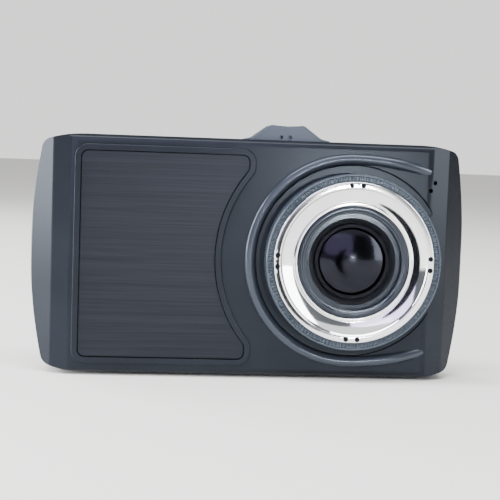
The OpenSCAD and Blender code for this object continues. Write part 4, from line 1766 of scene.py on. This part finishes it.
@dataclass
class Screen:
    """The cover glass, its black printed border, and the picture that the display shows.

    The picture is drawn as seen from behind: its first coordinate runs to the viewer's right.
    """

    glass: tuple[float, float] = (79.6, 47.2)
    view: tuple[float, float] = (77.5, 43.6)
    drop: float = -0.5
    base: float = 5.72
    step: float = 0.04
    sides: int = 28
    shop: Optional[Workshop] = None

    def layer(self, points: Sequence[Point], level: int) -> Form:
        """Raises one flat part of the picture.

        Args:
            points: its outline.
            level: how many layers lie under it.

        Returns:
            The part.
        """
        low = self.base + self.step * level
        return slab(points, low, low + self.step, BACKWARD)

    def curve(self, start: Point, steps: Sequence[tuple[float, float, float, float]], level: int) -> Form:
        """Raises a part whose outline has bowed sides.

        Args:
            start: its first point.
            steps: [x, z, bow, pieces] of each next point, where bow is how far the side swells out.
            level: how many layers lie under it.

        Returns:
            The part.
        """
        points = [start]
        for x, z, bow, pieces in steps:
            a, b = Vector(points[-1]), Vector((x, z))
            across = Vector((-(b - a).y, (b - a).x)).normalized()
            count = int(pieces)
            for k in range(1, count + 1):
                t = k / count
                point = a.lerp(b, t) + across * (bow * 4 * t * (1 - t))
                points.append((point.x, point.y))
        return self.layer(points, level)

    def disc(self, x: float, z: float, rx: float, rz: float, level: int) -> Form:
        """Raises a round or oval part.

        Args:
            x: the middle's first coordinate.
            z: its height.
            rx: half its width.
            rz: half its height.
            level: how many layers lie under it.

        Returns:
            The part.
        """
        turns = [math.tau * k / self.sides for k in range(self.sides)]
        return self.layer([(x + rx * math.cos(turn), z + rz * math.sin(turn)) for turn in turns], level)

    def trees(self) -> Form:
        """Draws the hill, the bushes and the firs along the skyline.

        Returns:
            The skyline.
        """
        half = self.view[0] / 2
        form = self.curve((-half, 6.0), [
            (-26.0, 7.2, 0.2, 4), (-19.0, 6.6, 0.5, 4), (-12.0, 7.6, 0.2, 4),
            (0.0, 8.6, 0.2, 4), (8.0, 8.6, 0.4, 4), (8.0, -4.0, 0.0, 1), (-half, -4.0, 0.0, 1),
        ], 1)
        bushes = (
            (-22.0, 6.6, 2.4, 0.9), (-15.4, 8.4, 1.9, 2.0), (-13.6, 9.4, 1.5, 1.4), (-11.9, 8.1, 1.6, 1.7),
            (-2.2, 9.4, 1.8, 1.9), (0.0, 10.9, 1.9, 2.0), (1.6, 12.0, 1.2, 1.1), (3.0, 10.2, 2.0, 2.0),
            (6.4, 9.4, 2.0, 1.9),
        )
        for x, z, rx, rz in bushes:
            form.add(self.disc(x, z, rx, rz, 1))
        firs = (
            (-9.9, 10.4), (-8.2, 11.8), (-6.4, 10.8), (-4.75, 12.7), (-3.3, 11.6), (8.9, 11.3), (5.0, 12.4),
        )
        for x, z in firs:
            fir = [
                (x - 0.8, 7.0), (x - 0.62, z - 2.2), (x - 0.3, z - 1.9), (x - 0.42, z - 1.2),
                (x - 0.14, z - 1.0), (x, z), (x + 0.16, z - 0.9), (x + 0.44, z - 1.3),
                (x + 0.3, z - 1.9), (x + 0.66, z - 2.3), (x + 0.8, 7.0),
            ]
            form.add(self.layer(fir[::-1], 1))
        return form

    def picture(self, shop: Workshop) -> None:
        """Draws a parked car in front of a house at dusk, in thin layers.

        Args:
            shop: the workshop.
        """
        self.shop = shop
        half, top = self.view[0] / 2, self.view[1] / 2 + self.drop
        foot = -self.view[1] / 2 + self.drop
        self.put(
            self.layer([(-half, foot), (half, foot), (half, top), (-half, top)], 0),
            "sky", (0.22, 0.22, 0.29), (1.25, 1.15, 0.74), low=5.0, high=13.0, cloud=0.8,
            side=(0.58, 0.72, 0.66),
        )
        self.put(self.trees(), "trees", (0.020, 0.030, 0.036), (0.006, 0.008, 0.010), low=4, high=13)
        house = self.layer([(5.5, -4), (half, -4), (half, top), (18.6, top), (12.8, 11.0), (5.5, 9.4)], 2)
        self.put(house, "house", (0.018, 0.019, 0.026), (0.010, 0.011, 0.014))
        panes = Form()
        for x0, x1, z0, z1 in ((26.0, 35.8, -1.2, 7.4), (13.6, 21.2, 2.6, 7.0)):
            panes.add(self.layer([(x0, z0), (x1, z0), (x1, z1), (x0, z1)], 3))
        self.put(panes, "windows", (0.84, 0.92, 0.56), (0.56, 0.62, 0.24), low=-1.0, high=7.0)
        balcony = Form()
        for k in range(9):
            x = 2.8 + 2.0 * k
            balcony.add(self.layer([(x, 9.3), (x + 1.35, 9.2), (x + 1.35, 12.4), (x, 12.5)], 3))
        self.put(balcony, "balcony", (0.44, 0.52, 0.52), (0.10, 0.14, 0.17), low=9.0, high=13.0)
        frames = Form()
        bars = (
            (30.3, 30.9, -1.2, 5.2), (26.0, 35.8, 5.0, 5.3), (33.3, 33.6, -1.2, 5.0), (17.2, 17.6, 2.6, 7.0),
        )
        for x0, x1, z0, z1 in bars:
            frames.add(self.layer([(x0, z0), (x1, z0), (x1, z1), (x0, z1)], 4))
        self.put(frames, "frames", (0.20, 0.24, 0.12), (0.10, 0.12, 0.06))
        post = Form()
        post.add(self.layer([(21.3, -2), (25.9, -2), (26.2, top), (20.8, top)], 5))
        post.add(self.layer([(2.0, 8.3), (21.3, 7.2), (21.3, 8.9), (2.0, 9.6)], 4))
        self.put(post, "post", (0.050, 0.068, 0.112), (0.060, 0.082, 0.125))
        ground = self.layer([(-half, foot), (half, foot), (half, -1.0), (-half, 5.8)], 5)
        self.put(ground, "ground", (0.012, 0.014, 0.018), (0.018, 0.021, 0.027))
        self.car(half, foot)
        self.car_front()
        self.wheels()

    def put(self, form: Form, name: str, upper: Colour, lower: Colour, **rest: object) -> None:
        """Finishes one layer of the picture.

        Args:
            form: its shape.
            name: its name, after the word picture.
            upper: its colour at the top.
            lower: its colour at the foot.
            rest: the other fields of its finish.
        """
        middle = (1000.0 * self.shop.middle.x, 1000.0 * self.shop.middle.z)
        finish = Lit(f"picture_{name}", upper, lower, middle=middle, **rest)
        self.shop.finish(form, f"picture_{name}", finish, "display_grey")

    def car(self, half: float, foot: float) -> None:
        """Draws the car's dark body, its panes and the light along its roof.

        Args:
            half: the picture's half width.
            foot: the picture's lower edge.
        """
        body = self.curve((-36.0, -2.0), [
            (-27.7, 2.9, 0.5, 5), (-14.0, 6.2, 0.8, 8), (6.0, 6.2, 1.0, 10), (23.0, -1.0, 1.2, 10),
            (half, -4.0, 0.6, 5), (half, foot, 0.0, 1), (-36.5, foot, 0.0, 1), (-37.8, -11.0, 0.4, 4),
        ], 6)
        self.put(body, "car_body", (0.010, 0.010, 0.013), (0.012, 0.014, 0.018), low=-20, high=5)
        panes = self.curve((-1.4, 4.2), [
            (7.0, 4.9, 0.5, 6), (19.8, -2.2, 1.1, 9), (6.5, -2.2, 0.0, 1), (1.4, 0.4, 0.2, 3),
        ], 7)
        panes.add(self.curve((-12.0, 4.6), [
            (-7.4, 4.4, 0.2, 3), (-4.6, 1.2, 0.2, 3), (-11.4, 1.4, 0.0, 1),
        ], 7))
        self.put(panes, "car_panes", (0.105, 0.190, 0.215), (0.055, 0.120, 0.160), low=-2, high=5)
        light = self.curve((-27.7, 2.4), [
            (-14.0, 5.6, 0.5, 8), (-6.0, 4.4, 0.9, 6), (-0.8, -2.2, 0.5, 6), (-1.2, -2.2, 0.0, 1),
            (-6.5, 4.1, -0.5, 6), (-14.0, 5.2, -0.8, 6),
        ], 8)
        light.add(self.curve((-22.0, 4.9), [
            (-17.0, 6.4, 0.3, 4), (-14.6, 7.0, 0.5, 4), (-16.0, 5.6, 0.1, 3),
        ], 8))
        self.put(light, "roof_light", (0.24, 0.29, 0.33), (0.34, 0.40, 0.44), low=-2, high=6)
        lines = self.layer([(-30.0, -19.6), (-10.0, -21.3), (-10.0, -20.9), (-30.0, -19.2)], 8)
        lines.add(self.curve((-28.5, -6.0), [
            (-16.0, -4.6, 0.5, 6), (-1.5, -6.4, 0.5, 6), (-1.5, -6.7, 0.0, 1), (-16.0, -5.0, -0.5, 6),
        ], 8))
        lines.add(self.curve((-19.0, 0.6), [
            (-17.4, -16.5, -0.8, 8), (-17.15, -16.5, 0.0, 1), (-18.7, 0.6, 0.8, 8),
        ], 8))
        lines.add(self.curve((9.5, -14.8), [
            (20.5, -17.4, 0.3, 5), (31.0, -17.6, 0.3, 4), (20.0, -18.0, -0.3, 4),
        ], 8))
        lines.add(self.curve((21.9, -4.9), [
            (34.0, -5.9, 0.6, 5), (half, -9.2, 0.3, 3), (30.0, -8.0, -0.5, 4),
        ], 7))
        lines.add(self.layer([(-34.0, -1.6), (-28.0, 0.4), (-28.0, 1.0), (-34.4, -0.9)], 8))
        self.put(lines, "car_lines", (0.055, 0.075, 0.105), (0.040, 0.048, 0.064), low=-20, high=-5)

    def car_front(self) -> None:
        """Draws the car's red bonnet and mirror, its lamps and its small glints."""
        bonnet = self.curve((2.7, -1.9), [
            (9.0, -2.4, 0.3, 3), (24.6, -8.6, 0.7, 8), (16.0, -10.1, 0.0, 1),
            (8.2, -10.8, -0.1, 3), (4.6, -5.6, -0.2, 4),
        ], 9)
        bonnet.add(self.layer([(-8.8, 0.1), (-2.6, 0.3), (-3.0, 1.1), (-8.6, 0.9)], 8))
        self.put(bonnet, "bonnet", (0.95, 0.085, 0.180), (0.72, 0.045, 0.110), low=-11, high=-2)
        lamp = self.curve((16.0, -9.0), [
            (23.6, -8.1, 0.4, 5), (30.6, -13.8, 0.9, 7), (22.0, -12.7, 0.0, 1), (17.2, -12.3, 0.1, 2),
        ], 10)
        self.put(lamp, "lamp", (0.95, 0.97, 0.97), (0.70, 0.62, 0.62), low=-13, high=-9)
        bulbs = Form()
        for x, z in ((18.6, -10.2), (20.9, -10.0), (23.2, -9.9), (25.0, -10.9)):
            bulbs.add(self.disc(x, z, 0.62, 0.5, 11))
        self.put(bulbs, "bulbs", (0.14, 0.17, 0.15), (0.10, 0.12, 0.11))
        glow = self.curve((17.6, -12.6), [
            (30.4, -14.1, 0.1, 4), (28.2, -15.5, 0.3, 3), (20.6, -14.6, 0.3, 4),
        ], 10)
        self.put(glow, "lamp_foot", (0.80, 0.10, 0.16), (0.30, 0.02, 0.04), low=-15.4, high=-12.6)
        far = self.curve((37.0, -7.6), [
            (34.6, -15.6, -1.0, 8), (34.0, -15.4, 0.0, 1), (36.5, -7.4, 1.1, 8),
        ], 8)
        self.put(far, "far_lamp", (0.10, 0.13, 0.15), (0.06, 0.08, 0.10), low=-16, high=-8)
        glint = self.disc(37.2, -19.8, 0.95, 0.62, 8)
        glint.add(self.disc(-33.8, -13.2, 0.62, 0.5, 12))
        glint.add(self.disc(2.4, -17.6, 0.40, 0.5, 12))
        self.put(glint, "glints", (0.95, 0.97, 1.0), (0.80, 0.84, 0.90))

    def wheels(self) -> None:
        """Draws the two wheels, each with a tyre, an arch, a rim and thin spokes."""
        tyres, rims, arches = Form(), Form(), Form()
        for x, z, rx, rz, count in ((-34.2, -12.6, 3.5, 7.0, 10), (3.2, -14.6, 2.6, 7.0, 10)):
            tyres.add(self.disc(x, z, rx, rz, 9))
            arches.add(self.curve((x - 1.16 * rx, z + 0.2 * rz), [
                (x, z + 1.16 * rz, 0.30 * rx, 8), (x + 1.16 * rx, z + 0.2 * rz, 0.30 * rx, 8),
                (x + 1.08 * rx, z + 0.2 * rz, 0.0, 1), (x, z + 1.11 * rz, -0.28 * rx, 8),
                (x - 1.08 * rx, z + 0.2 * rz, -0.28 * rx, 8),
            ], 8))
            hoop = self.disc(x, z, 0.88 * rx, 0.88 * rz, 10)
            inner = slab(
                [(x + 0.78 * rx * math.cos(math.tau * k / self.sides),
                  z + 0.82 * rz * math.sin(math.tau * k / self.sides))
                 for k in range(self.sides)], 5.0, 8.0, BACKWARD)
            rims.add(hoop.combine(Join.CUT, inner))
            for k in range(count):
                a = math.tau * (k + 0.3) / count
                b, c = a + 0.07, a + 0.20
                rims.add(self.layer([
                    (x + 0.16 * rx * math.cos(c), z + 0.16 * rz * math.sin(c)),
                    (x + 0.80 * rx * math.cos(a), z + 0.84 * rz * math.sin(a)),
                    (x + 0.80 * rx * math.cos(b), z + 0.84 * rz * math.sin(b)),
                ], 11))
            rims.add(self.disc(x, z, 0.17 * rx, 0.15 * rz, 11))
        self.put(tyres, "tyres", (0.004, 0.004, 0.005), (0.003, 0.003, 0.004))
        self.put(arches, "arches", (0.045, 0.055, 0.068), (0.025, 0.030, 0.038), low=-12, high=-5)
        self.put(rims, "rims", (0.075, 0.100, 0.120), (0.110, 0.140, 0.165), low=-20, high=-6)

    def build(self, shop: Workshop) -> None:
        """Makes the screen.

        Args:
            shop: the workshop.
        """
        width, height = self.glass
        border = rounded_bar(width - 0.2, height - 0.6, 1.8, -6.9, -6.72)
        z = self.drop
        w, h = self.view[0] / 2, self.view[1] / 2
        border.combine(Join.CUT, Form.block((-w, 6, z - h), (w, 8, z + h)))
        shop.finish(border, "black_border", Shade.PRINT, "foam_black", ["screen_tape"])
        glass = rounded_bar(width, height, 2.0, -7.9, -6.9).soften(0.18, 60, 3)
        shop.finish(glass, "cover_sheet", Shade.CLEAR, "screen_black", ["screen_glass"])
        self.picture(shop)


# ---------------------------------------------------------------- what stays as it is


class Carried:
    """Dresses the CAD nodes that are shown as they are."""

    BY_SLOT = {
        "case_black": Shade.CASE, "back_black": Shade.BACK, "plate_black": Shade.PLATE,
        "shoe_grey": Shade.SHOE, "ring_grey": Shade.RIBBED, "ring_bright": Shade.CHROME,
        "rim_black": Shade.RIM, "lens_glass": Shade.COVER, "inner_glass": Shade.ELEMENT,
        "lens_black": Shade.LENS_BLACK, "filter_pink": Shade.ELEMENT, "board_green": Shade.BOARD,
        "chip_black": Shade.CHIP, "coil_grey": Shade.SCREW, "tin_bright": Shade.TIN,
        "socket_black": Shade.SOCKET, "cell_silver": Shade.FOIL, "foam_black": Shade.FOAM,
        "wire_red": Shade.WIRE, "plug_cream": Shade.CREAM, "speaker_grey": Shade.CHIP,
        "screen_black": Shade.CLEAR, "display_grey": Shade.PRINT, "ribbon_amber": Shade.AMBER,
        "light_clear": Shade.PIPE, "screw_black": Shade.SCREW, "screw_plain": Shade.ZINC,
        "key_black": Shade.KEY,
    }

    def dress(self, shop: Workshop) -> None:
        """Gives every CAD node the finish of its slot.

        Args:
            shop: the workshop.
        """
        for part in shop.frame["record"]["subparts"]:
            made = shop.frame["nodes"][part["node"]]
            material = shop.palette.get(self.BY_SLOT[part["material_slot"]])
            made.data.materials.clear()
            made.data.materials.append(material)
        LOG.info("dressed %d carried nodes", len(shop.frame["nodes"]))


# ---------------------------------------------------------------- studio


@dataclass
class Studio:
    """The floor, the lights, the surroundings and the camera."""

    azimuth: float = -5.0
    elevation: float = 4.5
    roll: float = 2.0
    lens: float = 85.0
    distance: float = 0.272
    pale: float = 1.10
    dim: float = 0.20
    seen: float = 1.60
    floor_r: float = 6.0
    target: Vector = field(init=False)

    @staticmethod
    def towards(azimuth: float, elevation: float) -> Vector:
        """Gives the direction from the object to a place in the studio.

        Args:
            azimuth: its angle round the object, as for a camera.
            elevation: its angle above the floor.

        Returns:
            The direction, of length 1.
        """
        a, e = math.radians(azimuth), math.radians(elevation)
        return Vector((math.sin(a) * math.cos(e), -math.cos(a) * math.cos(e), math.sin(e)))

    def lamp(self, name: str, azimuth: float, elevation: float, distance: float,
             size: Point, power: float, colour: Colour = (1.0, 1.0, 1.0),
             card: bool = False, hidden: bool = False) -> None:
        """Hangs a soft box that faces the object.

        Args:
            name: the lamp's name.
            azimuth: its angle round the object, as for a camera.
            elevation: its angle above the floor.
            distance: how far away it hangs, in metres.
            size: its width and height, in metres.
            power: its power, in watts.
            colour: its colour.
            card: whether it is a card that only shows in gloss.
            hidden: whether it lights the object and doesn't show in gloss.
        """
        light = bpy.data.lights.new(name, "AREA")
        light.shape = "RECTANGLE"
        light.size, light.size_y = size
        light.energy = power
        light.color = colour
        made = bpy.data.objects.new(name, light)
        made.visible_diffuse, made.visible_glossy = not card, not hidden
        back = self.towards(azimuth, elevation)
        look = back.to_track_quat("Z", "Y").to_matrix().to_4x4()
        made.matrix_world = Matrix.Translation(self.target + back * distance) @ look
        bpy.context.scene.collection.objects.link(made)

    def floor(self, shop: Workshop) -> None:
        """Lays the floor under the object.

        Args:
            shop: the workshop.
        """
        low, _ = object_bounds()
        form = Form()
        bmesh.ops.create_circle(form.bm, cap_ends=True, radius=self.floor_r, segments=96)
        mesh = bpy.data.meshes.new("floor")
        bmesh.ops.translate(form.bm, verts=form.bm.verts[:], vec=(0, 0, low[2]))
        form.bm.to_mesh(mesh)
        mesh.materials.append(shop.palette.get(Shade.FLOOR))
        made = bpy.data.objects.new("floor", mesh)
        bpy.context.scene.collection.objects.link(made)
        made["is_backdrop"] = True

    def flag(self, shop: Workshop, eye: Vector) -> None:
        """Hangs a bowed black card that darkens one side of the bright ring's cone.

        Args:
            shop: the workshop.
            eye: the place from which the dark crescent shows.
        """
        start, sweep = 4, 64
        cone_slope, half_width, taper = 22.6, 3.0, 0.8
        cone_depth, cone_r, away = 0.0012, 0.0143, 0.05
        low, high = (Vector(corner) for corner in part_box("chrome_ring"))
        middle = Vector(((low.x + high.x) / 2, low.y + cone_depth, (low.z + high.z) / 2))
        form = Form()
        bmesh.ops.create_grid(form.bm, x_segments=32, y_segments=2, size=1.0)
        for vert in form.bm.verts:
            turn = math.radians(start + sweep * vert.co.x)
            slope = math.radians(cone_slope + half_width * vert.co.y * (1 - taper * vert.co.x**2))
            out = Vector((math.cos(turn), 0.0, math.sin(turn)))
            spot = middle + out * cone_r
            normal = Vector((0.0, -math.cos(slope), 0.0)) - out * math.sin(slope)
            sight = (eye - spot).normalized()
            vert.co = spot + (2 * normal.dot(sight) * normal - sight) * away
        mesh = bpy.data.meshes.new("flag")
        form.bm.to_mesh(mesh)
        mesh.materials.append(shop.palette.get(Shade.LENS_BLACK))
        made = bpy.data.objects.new("flag", mesh)
        made.visible_camera = made.visible_diffuse = False
        made.visible_shadow = made.visible_transmission = False
        bpy.context.scene.collection.objects.link(made)
        made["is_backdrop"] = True

    def surroundings(self) -> None:
        """Makes the pale surroundings, dimmer in reflections so that the black case stays black."""
        world = bpy.data.worlds.new("studio")
        world.use_nodes = True
        nodes, links = world.node_tree.nodes, world.node_tree.links
        pale = nodes["Background"]
        pale.inputs["Color"].default_value = (0.86, 0.86, 0.85, 1.0)
        pale.inputs["Strength"].default_value = self.pale
        path = nodes.new("ShaderNodeLightPath")
        shader = pale.outputs[0]
        kinds = (
            ("Is Glossy Ray", (0.88, 0.93, 1.0), self.dim),
            ("Is Camera Ray", (0.88, 0.88, 0.87), self.seen),
        )
        for kind, colour, strength in kinds:
            other = nodes.new("ShaderNodeBackground")
            other.inputs["Color"].default_value = (*colour, 1.0)
            other.inputs["Strength"].default_value = strength
            mix = nodes.new("ShaderNodeMixShader")
            links.new(path.outputs[kind], mix.inputs[0])
            links.new(shader, mix.inputs[1])
            links.new(other.outputs[0], mix.inputs[2])
            shader = mix.outputs[0]
        links.new(shader, nodes["World Output"].inputs[0])
        bpy.context.scene.world = world

    def build(self, shop: Workshop) -> None:
        """Sets up the floor, the lights and the camera.

        Args:
            shop: the workshop.
        """
        low, high = (Vector(c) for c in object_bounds())
        self.target = (low + high) / 2
        self.floor(shop)
        self.surroundings()
        self.lamp("right_box", 58, 12, 0.75, (0.30, 0.70), 7.5, card=True)
        self.lamp("front_fill", -28, 30, 0.75, (0.5, 0.5), 5.0, hidden=True)
        self.lamp("left_strip", -86, 10, 0.70, (0.16, 0.7), 12.0, (0.95, 0.97, 1.0))
        self.lamp("top_box", -8, 76, 0.75, (0.9, 0.24), 9.5)
        self.lamp("rear_box", 227, 12, 0.75, (0.26, 0.7), 7.0)
        self.lamp("glint", 12, 1, 0.50, (0.014, 0.014), 0.50, card=True)
        self.lamp("under_box", 200, -42, 0.70, (0.8, 0.4), 5.0)
        self.lamp("lens_glow", -11, 22, 0.5, (0.40, 0.30), 1.20, (0.80, 0.68, 1.0), card=True)
        self.lamp("cone_card", 14, 46, 0.5, (0.50, 0.18), 0.34, card=True)
        camera = bpy.data.cameras.new("camera")
        camera.lens = self.lens
        camera.clip_start = 0.01
        made = bpy.data.objects.new("camera", camera)
        back = self.towards(self.azimuth, self.elevation)
        look = back.to_track_quat("Z", "Y").to_matrix().to_4x4()
        tilt = Matrix.Rotation(math.radians(self.roll), 4, "Z")
        made.matrix_world = Matrix.Translation(self.target + back * self.distance) @ look @ tilt
        self.flag(shop, self.target + back * self.distance)
        bpy.context.scene.collection.objects.link(made)
        bpy.context.scene.camera = made


def main() -> None:
    """Builds the looks round the frame."""
    logging.basicConfig(level=logging.INFO, format="%(name)s: %(message)s")
    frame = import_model()
    shop = Workshop(frame)
    Carried().dress(shop)
    for part in (FrontShell(), Plate(), RearShell(), Shoe(), LensStack(), Keys(), Fittings(), Screen()):
        part.build(shop)
    Studio().build(shop)


if __name__ == "__main__":
    main()
